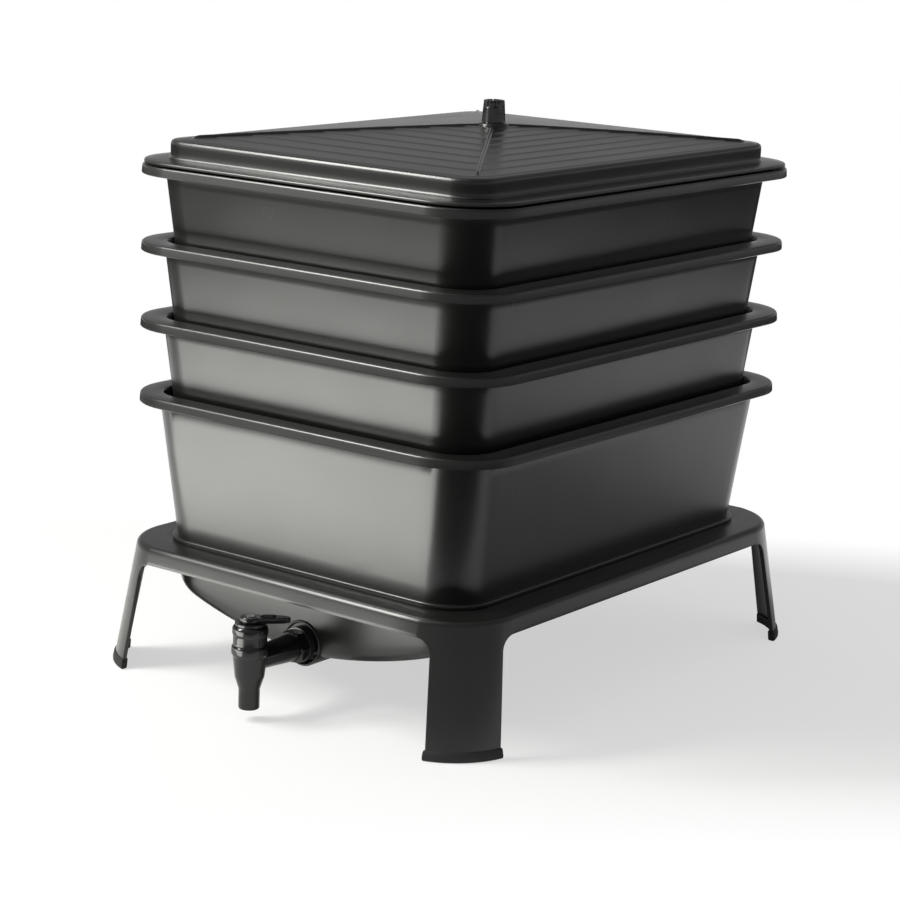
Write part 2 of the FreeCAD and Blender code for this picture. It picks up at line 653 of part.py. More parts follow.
def build_lid():
    """Lid: flange, upright rim, a skirt that drops into the top tray and a stepped roof."""
    shell = new_body("lid_outer")
    flange = rounded(shell, "lid_flange_outline", LID_LEVEL,
                     *plan("lid_flange_inset", "flange_corner - lid_flange_inset"))
    pad(shell, "lid_flange", flange, "lid_flange_height")
    rim = rounded(shell, "lid_rim_outline", f"{LID_LEVEL} - lid_locator",
                  *plan("lid_rim_inset", "sump_corner + 2"))
    rim_pad = pad(shell, "lid_rim", rim, "lid_locator + lid_rim_height")
    rim_top = size(RIM_TOP)
    round_edges(shell, "lid_rim_round", rim_pad, "lid_rim_edge",
                lambda p, e: abs(p.z - rim_top) < 0.01)
    limit = new_body("roof_limit")
    outline = rounded(limit, "roof_limit_outline", f"{RIM_TOP} - 3",
                      *plan("lid_rim_inset + roof_border", "sump_corner - 2"))
    pad(limit, "roof_limit_block", outline, "roof_rise + 20")
    roof = common("roof_trimmed", fuse("roof_with_ridges", build_roof(), build_ridges()), limit)
    seat = part("Part::Cylinder", "knob_seat", Radius="knob_seat_radius",
                Height="knob_seat_height + 8", Placement__Base__x="peak_side",
                Placement__Base__z=f"{PEAK} - 8")
    solid = fuse("lid_solid", shell, roof, seat)
    inner = new_body("lid_inside")
    in_outline = rounded(inner, "lid_inside_outline", f"{LID_LEVEL} - lid_locator - 1",
                         *plan("lid_rim_inset + wall", "sump_corner + 2 - wall"))
    pad(inner, "lid_inside_block", in_outline, "lid_locator + 1 + lid_rim_height - wall")
    slope = hipped_block("roof_inside", f"{RIM_TOP} - wall - 0.01", f"{PEAK} - wall - 1",
                         "1", "0.06", "lid_rim_inset + wall")
    bound = new_body("roof_inside_limit")
    bound_outline = rounded(bound, "roof_inside_outline", f"{RIM_TOP} - wall - 1",
                            *plan("lid_rim_inset + wall", "sump_corner + 2 - wall"))
    pad(bound, "roof_inside_block", bound_outline, "roof_rise + 4")
    under = common("roof_inside_trimmed", slope, bound)
    screw_hole = part("Part::Cylinder", "knob_screw_hole", Radius="knob_screw_radius + 0.4",
                      Height="30", Placement__Base__x="peak_side",
                      Placement__Base__z=f"{PEAK} - 20")
    return cut("lid", solid, fuse("lid_voids", inner, under, screw_hole))


def upright(name, radius, low, high, radius_2=None, axis_y="0"):
    """A round bar or cone standing on the Z axis, or on a parallel axis at y = axis_y."""
    length = f"({high}) - ({low})"
    if radius_2 is None:
        item = part("Part::Cylinder", name, Radius=radius, Height=length)
    else:
        item = part("Part::Cone", name, Radius1=radius, Radius2=radius_2, Height=length)
    bind(item, Placement__Base__y=axis_y, Placement__Base__z=low)
    return item


def build_knob():
    """Knob: a slightly tapered peg with grooves round its upper edge and a dished top."""
    cone = upright("knob_cone", "knob_foot_radius", KNOB_SEAT, f"{KNOB_SEAT} + knob_height",
                   "knob_top_radius")
    dish = upright("knob_dish", "knob_top_radius - 3", f"{KNOB_SEAT} + knob_height - 1.5",
                   f"{KNOB_SEAT} + knob_height + 1", "knob_top_radius - 1.5")
    bore = upright("knob_bore", "knob_screw_radius + 0.05", f"{KNOB_SEAT} - 1", f"{KNOB_SEAT} + 12")
    grooves = []
    for number in range(round(size("knob_grooves"))):
        groove = part("Part::Cylinder", f"knob_groove_{number}", Radius="1.1", Height="8",
                      Placement__Base__z=f"{KNOB_SEAT} + knob_height - 6")
        angle = f"({number} * 360 / knob_grooves)"
        bind(groove, Placement__Base__x=f"(knob_top_radius + 0.6) * cos({angle} * 1 deg)",
             Placement__Base__y=f"(knob_top_radius + 0.6) * sin({angle} * 1 deg)")
        grooves.append(groove)
    knob = cut("lid_knob", cone, fuse("knob_cuts", dish, bore, *grooves))
    under = f"({PEAK} - wall - 1)"
    washer = cut("knob_washer",
                 upright("knob_washer_disc", "7", f"{under} - 1.2", under),
                 upright("knob_washer_hole", "knob_screw_radius + 0.3", f"{under} - 2", PEAK))
    head = upright("knob_screw_head", "4.6", f"{under} - 4.2", f"{under} - 1.2")
    shank = upright("knob_screw_shank", "knob_screw_radius", f"{under} - 2", f"{KNOB_SEAT} + 11")
    cross = driver_cross("knob_screw", f"{under} - 4.2 - 0.5", "1.8", "0")
    screw = cut("knob_screw", fuse("knob_screw_blank", head, shank), cross)
    for item in (knob, washer, screw):
        bind(item, Placement__Base__x="peak_side")
    return [knob, washer, screw]


def driver_cross(name, low, depth, axis_y):
    """The cross recess in a screw's head."""
    arms = []
    for number, (length, width) in enumerate((("4.4", "0.9"), ("0.9", "4.4"))):
        arms.append(part("Part::Box", f"{name}_cross_{number}", Length=length, Width=width,
                         Height=depth, Placement__Base__x=f"-{length} / 2",
                         Placement__Base__y=f"{axis_y} - {width} / 2", Placement__Base__z=low))
    return fuse(f"{name}_cross", *arms)


SPOUT_AXIS = f"-({FRONT_WALL} + tap_reach)"
HOUSING_TOP = "(tap_level + 31)"
PLUG_FOOT = "(tap_level - 13)"
LEVER_LOW = "(tap_level + 33.5)"
RING_LEVELS = ("(tap_level + 12)", "(tap_level + 26)")


def hex_block(name, flats, start, length):
    """A hexagonal block along the tap's barrel, running towards -Y."""
    item = part("Part::Prism", name, Circumradius=f"({flats}) / 2 / cos(30 deg)", Height=length)
    item.Polygon = 6
    item.Placement = Placement(Vector(), Rotation(Vector(1, 0, 0), 90))
    bind(item, Placement__Base__y=f"-({start})", Placement__Base__z="tap_level")
    return item


def build_tap():
    """Plug tap: body with shank, housing and spout, hollow plug, lever, seals and nut."""
    inside = f"({FRONT_WALL} - wall)"
    washer_outer = cut("tap_washer_outer", bar("washer_outer_disc", "15", BOSS_FACE, "3"),
                       bar("washer_outer_hole", "hole_radius", f"{BOSS_FACE} - 1", "5"))
    washer_inner = cut("tap_washer_inner", bar("washer_inner_disc", "15.2", f"{inside} - 2", "2"),
                       bar("washer_inner_hole", "hole_radius", f"{inside} - 3", "5"))
    nut = cut("tap_nut", hex_block("nut_blank", "nut_flats", f"{inside} - 11", "9"),
              bar("nut_hole", "shank_radius + 0.1", f"{inside} - 12", "11"))

    collar = f"({BOSS_FACE} + 3)"
    blank = fuse(
        "tap_body_blank",
        bar("tap_shank", "shank_radius", f"{inside} - 15", f"{collar} - {inside} + 16"),
        bar("tap_flange", "15.5", collar, "2.5"),
        hex_block("tap_hex", "nut_flats - 3", collar, "12"),
        bar("tap_neck", "12", f"{collar} + 12", f"{FRONT_WALL} + tap_reach - 8 - {collar} - 12",
            "neck_radius"),
        upright("housing", "housing_radius", "tap_level + 8", HOUSING_TOP, axis_y=SPOUT_AXIS),
        upright("housing_bead", "housing_radius + 1.2", "tap_level + 7", "tap_level + 13",
                axis_y=SPOUT_AXIS),
        upright("housing_crown", "housing_radius + 0.8", f"{HOUSING_TOP} - 7",
                f"{HOUSING_TOP} - 2", axis_y=SPOUT_AXIS),
        upright("spout_shoulder", "flare_radius", "spout_end + flare_height", "tap_level + 8",
                "housing_radius", axis_y=SPOUT_AXIS),
        upright("spout_flare", "spout_radius", "spout_end + spout_straight",
                "spout_end + flare_height", "flare_radius", axis_y=SPOUT_AXIS),
        upright("spout_tube", "spout_radius", "spout_end", "spout_end + spout_straight",
                axis_y=SPOUT_AXIS))
    bores = fuse(
        "tap_bores",
        bar("barrel_bore", "waterway_radius", f"{inside} - 16",
            f"{FRONT_WALL} + tap_reach - {inside} + 16"),
        upright("plug_bore", "plug_radius + plug_clearance", PLUG_FOOT, f"{HOUSING_TOP} + 1",
                axis_y=SPOUT_AXIS),
        upright("spout_bore", "waterway_radius + 0.5", "spout_end - 1", "tap_level",
                axis_y=SPOUT_AXIS))
    tap_body = cut("tap_body", blank, bores)

    plug_blank = fuse(
        "plug_blank",
        upright("plug_barrel", "plug_radius", PLUG_FOOT, f"{HOUSING_TOP} + 0.5",
                axis_y=SPOUT_AXIS),
        upright("plug_collar", "13", f"{HOUSING_TOP} + 0.5", LEVER_LOW, axis_y=SPOUT_AXIS),
        plug_square())
    port = part("Part::Cylinder", "plug_port", Radius="waterway_radius", Height="20")
    port.Placement = Placement(Vector(), Rotation(Vector(0, 1, 0), -90))
    bind(port, Placement__Base__y=SPOUT_AXIS, Placement__Base__z="tap_level")
    grooves = [ring_cut(f"plug_groove_{number}", level) for number, level in enumerate(RING_LEVELS)]
    plug_cuts = fuse(
        "plug_cuts",
        upright("plug_hollow", "waterway_radius + 0.5", f"{PLUG_FOOT} - 1",
                "tap_level + waterway_radius + 1", axis_y=SPOUT_AXIS),
        upright("plug_pilot", "1.45", "tap_level + 18", f"{LEVER_LOW} + 5", axis_y=SPOUT_AXIS),
        port, *grooves)
    plug = cut("tap_plug", plug_blank, plug_cuts)

    rings = []
    for number, level in enumerate(RING_LEVELS):
        ring = part("Part::Torus", f"plug_ring_{number}", Radius1="plug_radius - seal_wire",
                    Radius2="seal_wire", Placement__Base__y=SPOUT_AXIS,
                    Placement__Base__z=level)
        rings.append(ring)
    o_rings = part("Part::Compound", "tap_o_rings")
    o_rings.Links = rings
    return [tap_body, washer_outer, washer_inner, nut, plug, o_rings] + build_lever()


def plug_square():
    """The square on top of the plug that the lever sits on, turned with the lever."""
    square = part("Part::Prism", "plug_square", Circumradius="3.5 * sqrt(2)", Height="3")
    square.Polygon = 4
    turn = Rotation(Vector(0, 0, 1), size("lever_angle") + 45)
    square.Placement = Placement(Vector(), turn)
    bind(square, Placement__Base__y=SPOUT_AXIS, Placement__Base__z=LEVER_LOW)
    return square


def ring_cut(name, level):
    """A groove round the plug for a sealing ring, a little wider and deeper than the ring."""
    low, high = f"{level} - seal_wire - 0.15", f"{level} + seal_wire + 0.15"
    return cut(name,
               upright(f"{name}_outside", "plug_radius + 1", low, high, axis_y=SPOUT_AXIS),
               upright(f"{name}_inside", "plug_radius - 2 * seal_wire - 0.05", low, high,
                       axis_y=SPOUT_AXIS))


def build_lever():
    """Flat lever with a raised grip rib, screwed to the plug's square."""
    lever = new_body("lever_blank")
    outline = polygon(lever, "lever_outline", "XY_Plane",
                      [("-7", "-7.5"), ("lever_length - 6", "-4.5"), ("lever_length", "-2"),
                       ("lever_length", "2"), ("lever_length - 6", "4.5"), ("-7", "7.5"),
                       ("-9", "4"), ("-9", "-4")])
    plate = pad(lever, "lever_plate", outline, "5")
    round_edges(lever, "lever_edges", plate, "1.2", lambda p, e: p.z > 4.9)
    rib = part("Part::Box", "lever_rib", Length="13", Width="3", Height="3",
               Placement__Base__x="8", Placement__Base__y="-1.5", Placement__Base__z="4")
    square = part("Part::Box", "lever_square", Length="7.1", Width="7.1", Height="4",
                  Placement__Base__x="-3.55", Placement__Base__y="-3.55",
                  Placement__Base__z="-1")
    cuts = fuse("lever_cuts", square, upright("lever_screw_hole", "1.8", "0", "6"),
                upright("lever_screw_seat", "4", "3.6", "6"))
    placed = cut("tap_lever", fuse("lever_solid", lever, rib), cuts)
    placed.Placement = Placement(Vector(), Rotation(Vector(0, 0, 1), size("lever_angle")))
    bind(placed, Placement__Base__y=SPOUT_AXIS, Placement__Base__z=LEVER_LOW)
    head = upright("lever_screw_head", "3.6", f"{LEVER_LOW} + 3.6", f"{LEVER_LOW} + 5.6",
                   axis_y=SPOUT_AXIS)
    shank = upright("lever_screw_shank", "1.4", "tap_level + 20", f"{LEVER_LOW} + 4",
                    axis_y=SPOUT_AXIS)
    screw = cut("tap_lever_screw", fuse("lever_screw_blank", head, shank),
                driver_cross("lever_screw", f"{LEVER_LOW} + 4.6", "1.5", SPOUT_AXIS))
    return [placed, screw]


def check(items):
    """Stops where any object failed or a sub-part isn't a sound solid."""
    for item in doc.Objects:
        if "Invalid" in item.State or "Error" in item.State:
            raise RuntimeError(f"{item.Name} failed: {item.getStatusString()}")
    for item in items:
        shape = item.Shape
        if shape.isNull() or not shape.isValid() or not shape.Solids:
            raise RuntimeError(f"{item.Name} isn't a sound solid")


def outline_middle(items):
    """The middle of the whole outline from front to back."""
    boxes = [item.Shape.optimalBoundingBox() for item in items]
    return (min(box.YMin for box in boxes) + max(box.YMax for box in boxes)) / 2


def stand_in_place(item, back):
    """The sub-part itself: a modelled piece moved back with the rest of the stack."""
    name = item.Name
    item.Label = f"{name}_form"
    placed = doc.addObject("Part::Compound", f"{name}_placed")
    placed.Links = [item]
    placed.Placement = Placement(Vector(0, back, 0), Rotation())
    placed.Label = name
    return placed


def main():
    stand = build_stand()
    subparts = [stand, build_collector()]
    subparts += build_foot_pads(stand)
    subparts += build_trays(build_tray_form())
    subparts.append(build_lid())
    subparts += build_knob() + build_tap()
    doc.recompute()
    check(subparts)
    middle = outline_middle(subparts)
    placed = [stand_in_place(item, -middle) for item in subparts]
    doc.recompute()
    check(placed)
    os.makedirs("parts", exist_ok=True)
    for item in placed:
        item.Shape.exportStep(f"parts/{item.Label}.step")


main()
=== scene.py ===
"""Stacking wormery, dressed for rendering: moulded trays, collector, stand, lid and tap."""

import json
import math

import bmesh
import bpy
import numpy as np
from mathutils import Matrix, Vector


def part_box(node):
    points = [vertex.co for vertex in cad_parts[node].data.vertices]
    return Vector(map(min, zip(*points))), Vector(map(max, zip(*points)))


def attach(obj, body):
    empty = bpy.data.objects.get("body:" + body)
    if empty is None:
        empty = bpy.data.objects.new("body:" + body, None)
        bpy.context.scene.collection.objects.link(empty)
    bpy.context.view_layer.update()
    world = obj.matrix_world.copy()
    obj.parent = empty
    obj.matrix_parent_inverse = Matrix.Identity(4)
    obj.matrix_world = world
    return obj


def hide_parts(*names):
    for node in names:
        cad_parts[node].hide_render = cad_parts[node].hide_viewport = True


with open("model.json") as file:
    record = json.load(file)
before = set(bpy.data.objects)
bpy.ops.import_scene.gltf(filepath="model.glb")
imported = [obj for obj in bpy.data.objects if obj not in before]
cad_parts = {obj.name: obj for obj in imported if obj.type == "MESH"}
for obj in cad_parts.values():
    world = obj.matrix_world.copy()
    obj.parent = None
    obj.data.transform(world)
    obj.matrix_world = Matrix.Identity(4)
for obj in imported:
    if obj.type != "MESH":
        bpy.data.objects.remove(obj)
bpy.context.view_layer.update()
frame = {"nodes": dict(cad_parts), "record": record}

TRAY_LOW, TRAY_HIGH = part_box("tray_1")
# Level of the top tray's flange, on which the lid lies, in millimetres.
STACK_TOP = TRAY_HIGH.z * 1000

bl_info = {
    "name": "Stacking Wormery",
    "version": (1, 0, 0),
    "blender": (4, 5, 0),
    "location": "View3D > Sidebar > Wormery",
    "description": "Builds the moulded pieces of a stacking wormery round its packed frame",
    "category": "Object",
}


# Property helpers and groups: sizes in metres, shown by Blender in the scene's unit.

def length(name, description, millimetres):
    """A length property whose default is given in millimetres."""
    return bpy.props.FloatProperty(name=name, description=description, unit="LENGTH",
                                   default=millimetres / 1000, precision=4)


def colour(name, description, code):
    """A colour property whose default is an sRGB hex code."""
    return bpy.props.FloatVectorProperty(name=name, description=description, size=4,
                                         subtype="COLOR", default=linear(code), min=0, max=1)


def linear(code):
    """Linear red, green, blue and alpha of an sRGB hex code."""
    parts = np.array([int(code[i:i + 2], 16) for i in (0, 2, 4)]) / 255
    straight = np.where(parts <= 0.04045, parts / 12.92, ((parts + 0.055) / 1.055) ** 2.4)
    return (*straight.tolist(), 1.0)


class TraySizes(bpy.types.PropertyGroup):
    """Sizes that the trays and the collector share."""
    half_width: length("Half width", "Middle to the edge of a flange, across",
                       (TRAY_HIGH.x - TRAY_LOW.x) * 500)
    half_depth: length("Half depth", "Middle to the edge of a flange, front to back",
                       (TRAY_HIGH.y - TRAY_LOW.y) * 500)
    middle: length("Middle", "Middle of the stack from front to back",
                   (TRAY_HIGH.y + TRAY_LOW.y) * 500)
    flange_corner: length("Flange corner", "Corner radius of a flange", 56)
    flange_height: length("Flange height", "Turned-down lip of a flange", 8)
    flange_edge: length("Flange edge", "Rounding of a flange's upper edge", 2.0)
    wall: length("Wall", "Thickness of the mouldings", 3)
    wall_corner: length("Wall corner", "Upright corner radius of the walls", 36)
    wall_inset: length("Wall inset", "From a flange's edge in to the wall under it", 20.5)
    depth: length("Depth", "From the flange's underside down to the base", 110)
    base_inset: length("Base inset", "From the flange's edge in to the foot of the wall", 31.1)


class CollectorSizes(bpy.types.PropertyGroup):
    """Sizes of the liquid collector under the trays."""
    level: length("Level", "Underside of the flange above the floor", 236)
    wall_inset: length("Wall inset", "From the flange's edge in to the wall", 18.6)
    shoulder: length("Shoulder", "Height at which the sump begins", 96)
    shoulder_inset: length("Shoulder inset", "From the flange's edge in to the sump", 32.3)
    lowest: length("Lowest line", "Height of the base along its middle", 40)
    base_round: length("Base round", "Rounding between sump wall and base", 7)
    bead: length("Seating bead", "Reach of the bead that rests on the stand", 5)


class StandSizes(bpy.types.PropertyGroup):
    """Sizes of the ring stand."""
    ring_top: length("Ring top", "Height of the ring", 112)
    skirt: length("Skirt", "Height of the skirt's lower edge", 97)
    ring_over: length("Ring overhang", "Ring outside the tray flanges", 2.6)
    foot_over: length("Foot overhang", "Legs outside the tray flanges at the floor", 17)
    opening: length("Opening inset", "From the flange outline in to the opening", 28.5)
    thickness: length("Thickness", "Thickness of the moulding", 3.5)
    front_gap_top: length("Front gap, top", "Half width of the front gap at the skirt", 160)
    front_gap_floor: length("Front gap, floor", "Half width of the front gap at the floor", 169)
    side_gap_top: length("Side gap, top", "Half length of the side gap at the skirt", 203)
    side_gap_floor: length("Side gap, floor", "Half length of the side gap at the floor", 217)
    gap_round: length("Gap round", "Rounding where a leg meets the skirt", 14)


class LidSizes(bpy.types.PropertyGroup):
    """Sizes of the stepped lid and its knob."""
    rim_inset: length("Rim inset", "From the tray flange's edge in to the upright rim", 26)
    rim_height: length("Rim height", "From the tray flange up to the rim's top", 20.5)
    rim_corner: length("Rim corner", "Upright corner radius of the rim", 26)
    rise: length("Rise", "From the rim's top up to the roof's peak", 15.5)
    peak_side: length("Peak", "Roof's peak and knob to the right of the middle", 18.5)
    border: length("Border", "Plain border round the louvres", 5)
    louvre_face: length("Louvre face", "Upright face of one louvre", 0.9)
    louvres: bpy.props.IntProperty(name="Louvres", description="Louvres on each face",
                                   default=9, min=3, max=20)
    ridge_width: length("Ridge width", "Width of the plain hip ridges", 4)
    knob_foot: length("Knob foot", "Radius of the knob at its foot", 10.3)
    knob_top: length("Knob top", "Radius of the knob at its top", 9.1)


class WormeryColours(bpy.types.PropertyGroup):
    """Colours of the finishes."""
    moulding: colour("Moulding", "Black polypropylene", "121211")
    tap: colour("Tap", "Glossy black tap", "121214")
    rubber: colour("Rubber", "Seals and foot pads", "1c1c1d")
    steel: colour("Screws", "Zinc-plated steel", "b9bcc0")
    floor: colour("Floor", "Studio floor", "f4f4f3")


GROUPS = {"wormery_tray": TraySizes, "wormery_collector": CollectorSizes,
          "wormery_stand": StandSizes, "wormery_lid": LidSizes,
          "wormery_colours": WormeryColours}


class Lengths:
    """Reads the lengths of one of the scene's property groups in millimetres."""

    def __init__(self, group):
        self.group = group

    def __getattr__(self, name):
        return getattr(getattr(bpy.context.scene, self.group), name) * 1000


TRAY, COLLECTOR, STAND, LID = map(Lengths, list(GROUPS)[:4])


# Surfaces. Every shape below is worked out in millimetres about the middle of the stack.

def rounded_path(across, along, steps=13):
    """Columns round a rectangle with round corners, anticlockwise from the front's left end.

    A column holds (cx, cy, nx, ny): its point is (cx * core width + nx * radius, cy * core
    depth + ny * radius), where the core is the rectangle of the four corner centres. across
    and along give the columns on the straight sides as shares of the core from -1 to 1.
    """
    across, along = np.sort(across), np.sort(along)
    turn = np.linspace(0, np.pi / 2, steps)
    columns = []
    for quarter, share in enumerate((across, along, -across[::-1], -along[::-1])):
        angle = -np.pi / 2 + quarter * np.pi / 2
        out = np.array([np.cos(angle), np.sin(angle)])
        forward = np.array([-out[1], out[0]])
        side = share[:, None] * forward + out
        columns.append(np.hstack([side, np.tile(out, (len(share), 1))]))
        corner = np.tile(forward + out, (steps, 1))
        normal = np.stack([np.cos(angle + turn), np.sin(angle + turn)], 1)
        columns.append(np.hstack([corner, normal]))
    return np.vstack(columns)


def carried(path, rows):
    """Grid of points: each row (half width, half depth, corner radius, level) along a path."""
    half_width, half_depth, corner, level = np.asarray(rows, float).T
    x = np.outer(half_width - corner, path[:, 0]) + np.outer(corner, path[:, 2])
    y = np.outer(half_depth - corner, path[:, 1]) + np.outer(corner, path[:, 3])
    z = np.repeat(level[:, None], len(path), 1)
    return np.stack([x, y, z], -1)


def from_insets(rows):
    """Rows (inset from the flange outline, corner radius, level) as rows for carried."""
    inset, corner, level = np.asarray(rows, float).T
    return np.stack([TRAY.half_width - inset, TRAY.half_depth - inset, corner, level], 1)


def arc(inset, level, radius, start, end, count=5):
    """Points (inset, level) on a circle: 0 degrees faces outward, 90 up, -90 down."""
    angle = np.radians(np.linspace(start, end, count))
    return np.stack([inset - radius * np.cos(angle), level + radius * np.sin(angle)], 1)


def with_corner(points, corner, follow=0):
    """Adds a corner radius to (inset, level) points: corner less follow times the inset."""
    inset, level = np.asarray(points, float).T
    return np.stack([inset, corner - follow * inset, level], 1)


def patch(grid, across=True, along=False):
    """Vertices and quads of a grid of points; across closes its rows, along its columns."""
    rows, columns = grid.shape[:2]
    index = np.arange(rows * columns).reshape(rows, columns)
    if across:
        index = np.hstack([index, index[:, :1]])
    if along:
        index = np.vstack([index, index[:1]])
    quads = np.stack([index[:-1, :-1], index[:-1, 1:], index[1:, 1:], index[1:, :-1]], -1)
    return grid.reshape(-1, 3), quads.reshape(-1, 4)


def turned(corners, columns, bend, flute=None):
    """Surface of revolution of a profile of (radius, height) corners, rounded by bend.

    A point is (radius cos a, radius sin a, height); flute(angle, height) adds to its radius.
    """
    profile = rounded_profile(corners, bend) if bend else np.asarray(corners, float)
    angle = np.linspace(0, 2 * np.pi, columns, endpoint=False)
    radius = np.repeat(profile[:, :1], columns, 1)
    height = np.repeat(profile[:, 1:2], columns, 1)
    if flute:
        radius = radius + np.where(radius > 0, flute(angle[None, :], height), 0)
    return patch(np.stack([radius * np.cos(angle), radius * np.sin(angle), height], -1))


def rounded_profile(corners, bend, steps=4):
    """A profile through corners (radius, height) with each corner cut by a small curve.

    Each inner corner becomes a quadratic curve between points at distance bend before and
    after it, with the corner as its control point.
    """
    corners = np.asarray(corners, float)
    points = [corners[:1]]
    share = np.linspace(0, 1, steps)[:, None]
    for before, corner, after in zip(corners[:-2], corners[1:-1], corners[2:]):
        reach = [min(bend, np.linalg.norm(other - corner) * 0.45) for other in (before, after)]
        start = corner + (before - corner) / np.linalg.norm(before - corner) * reach[0]
        end = corner + (after - corner) / np.linalg.norm(after - corner) * reach[1]
        points.append((1 - share) ** 2 * start + 2 * share * (1 - share) * corner
                      + share ** 2 * end)
    points.append(corners[-1:])
    return np.vstack(points)


# Turns an upright profile down so that it points out of the front.
TO_FRONT = Matrix.Rotation(math.radians(90), 4, "X")


def moved(shape, turn, shift):
    """A patch turned by a matrix, if there is one, and shifted."""
    points, quads = shape
    if turn is not None:
        points = points @ np.array(turn.to_3x3()).T
    return points + np.asarray(shift, float), quads


def linked(name, data):
    """A new object that shows some data in the scene."""
    item = bpy.data.objects.new(name, data)
    bpy.context.scene.collection.objects.link(item)
    return item


def make_piece(name, shapes, body, slot, node, look=None, sharp=38, modifiers=()):
    """Joins patches into one closed mesh in metres that rides a body in place of a node.

    Its finish is that of its material slot, unless look names another slot's. Edges that turn
    by more than sharp degrees stay sharp.
    """
    first = np.cumsum([0] + [len(corners) for corners, _ in shapes])
    quads = np.vstack([faces + start for (_, faces), start in zip(shapes, first)])
    points = np.vstack([corners for corners, _ in shapes]) + (0, TRAY.middle, 0)
    mesh = bpy.data.meshes.new(name)
    mesh.from_pydata((points / 1000).tolist(), [], quads.tolist())
    build = bmesh.new()
    build.from_mesh(mesh)
    bmesh.ops.remove_doubles(build, verts=build.verts, dist=1e-6)
    bmesh.ops.dissolve_degenerate(build, edges=build.edges, dist=1e-7)
    bmesh.ops.recalc_face_normals(build, faces=build.faces)
    build.to_mesh(mesh)
    build.free()
    mesh.shade_smooth()
    mesh.set_sharp_from_angle(angle=math.radians(sharp))
    mesh.materials.append(finish(look or slot))
    piece = linked(name, mesh)
    for kind, settings in modifiers:
        modifier = piece.modifiers.new(kind.title(), kind)
        for key, value in settings.items():
            setattr(modifier, key, value)
    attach(piece, body)
    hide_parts(node)


# Finishes. A noise scale of 1000 / 9 has features about 9 mm wide, since lengths are metres.

def add_node(tree, kind, given):
    """Adds a node and gives its sockets, by name or number, or its properties their values.

    A value that is a node or an output is linked instead, a node by its first output.
    """
    item = tree.nodes.new("ShaderNode" + kind)
    for key, value in given.items():
        if isinstance(value, bpy.types.Node):
            value = value.outputs[0]
        if isinstance(value, bpy.types.NodeSocket):
            tree.links.new(value, item.inputs[key])
        elif isinstance(key, int) or key in item.inputs:
            item.inputs[key].default_value = value
        else:
            setattr(item, key, value)
    return item


def satin_black_polypropylene(tree, place, tone):
    """Injection-moulded black polypropylene.

    The mould's fine spark-eroded grain makes a satin sheen, slow unevenness of the large
    thin walls bends the reflections, and handling leaves faint paler rubbed patches.
    """
    waves = add_node(tree, "TexNoise", {"Vector": place, "Scale": 1000 / 130, "Detail": 1.0})
    grain = add_node(tree, "TexNoise", {"Vector": place, "Scale": 1000 / 0.9, "Detail": 1.0})
    rubbed = add_node(tree, "TexNoise", {"Vector": place, "Scale": 1000 / 55,
                                         "Detail": 2.0, "Roughness": 0.45})
    bent = add_node(tree, "Bump", {"Height": waves, "Strength": 0.3, "Distance": 0.004})
    normal = add_node(tree, "Bump", {"Height": grain, "Strength": 0.3, "Distance": 0.00002,
                                     "Normal": bent})
    worn = add_node(tree, "MapRange", {"Value": rubbed, "From Min": 0.2})
    pale = [min(1.0, part * 1.35) for part in tone[:3]] + [1.0]
    mix = add_node(tree, "Mix", {"data_type": "RGBA", "Factor": worn, 6: tone, 7: pale})
    sheen = add_node(tree, "MapRange", {"Value": rubbed, "To Min": 0.29, "To Max": 0.23})
    return add_node(tree, "BsdfPrincipled", {
        "IOR": 1.49, "Roughness": 0.4, "Specular IOR Level": 0.2, "Coat Weight": 0.85,
        "Coat Roughness": sheen, "Base Color": mix.outputs[2], "Normal": normal,
        "Coat Normal": normal})


def polished_black_polypropylene(tree, place, tone):
    """Glossy black tap and knob: a polished mould leaves sharp, slightly wavy highlights."""
    waves = add_node(tree, "TexNoise", {"Vector": place, "Scale": 1000 / 9, "Detail": 1.0})
    smudges = add_node(tree, "TexNoise", {"Vector": place, "Scale": 1000 / 14,
                                          "Detail": 3.0, "Roughness": 0.6})
    sheen = add_node(tree, "MapRange", {"Value": smudges, "From Min": 0.35, "From Max": 0.7,
                                        "To Min": 0.12, "To Max": 0.26})
    normal = add_node(tree, "Bump", {"Height": waves, "Strength": 0.3, "Distance": 0.0006})
    return add_node(tree, "BsdfPrincipled", {"IOR": 1.5, "Base Color": tone,
                                             "Roughness": sheen, "Normal": normal})


def fine_grained(tree, place, grain, sheen, bump, settings):
    """A shader whose roughness and bump follow one noise with a grain in millimetres.

    sheen is its least and most roughness, and bump its strength and height in metres.
    """
    grain = add_node(tree, "TexNoise", {"Vector": place, "Scale": 1000 / grain, "Detail": 3.0})
    sheen = add_node(tree, "MapRange", {"Value": grain, "From Min": 0.3, "From Max": 0.7,
                                        "To Min": sheen[0], "To Max": sheen[1]})
    normal = add_node(tree, "Bump", {"Height": grain, "Strength": bump[0], "Distance": bump[1]})
    return add_node(tree, "BsdfPrincipled", {**settings, "Roughness": sheen, "Normal": normal})


def moulded_black_rubber(tree, place, tone):
    """Matt black rubber with a fine dusty grain."""
    return fine_grained(tree, place, 0.7, (0.62, 0.78), (0.4, 0.0001),
                        {"IOR": 1.52, "Base Color": tone})


def zinc_plated_steel(tree, place, tone):
    """Zinc-plated screws: a bright metal with fine turning marks and dull blotches."""
    return fine_grained(tree, place, 2.2, (0.24, 0.42), (0.3, 0.00005),
                        {"Metallic": 1.0, "Base Color": tone})


def sent_on(tree, seen):
    """1 for a ray that gloss or glass has sent on, else 0."""
    return add_node(tree, "Math", {"operation": "ADD", "use_clamp": True,
                                   0: seen.outputs["Is Glossy Ray"],
                                   1: seen.outputs["Is Transmission Ray"]})


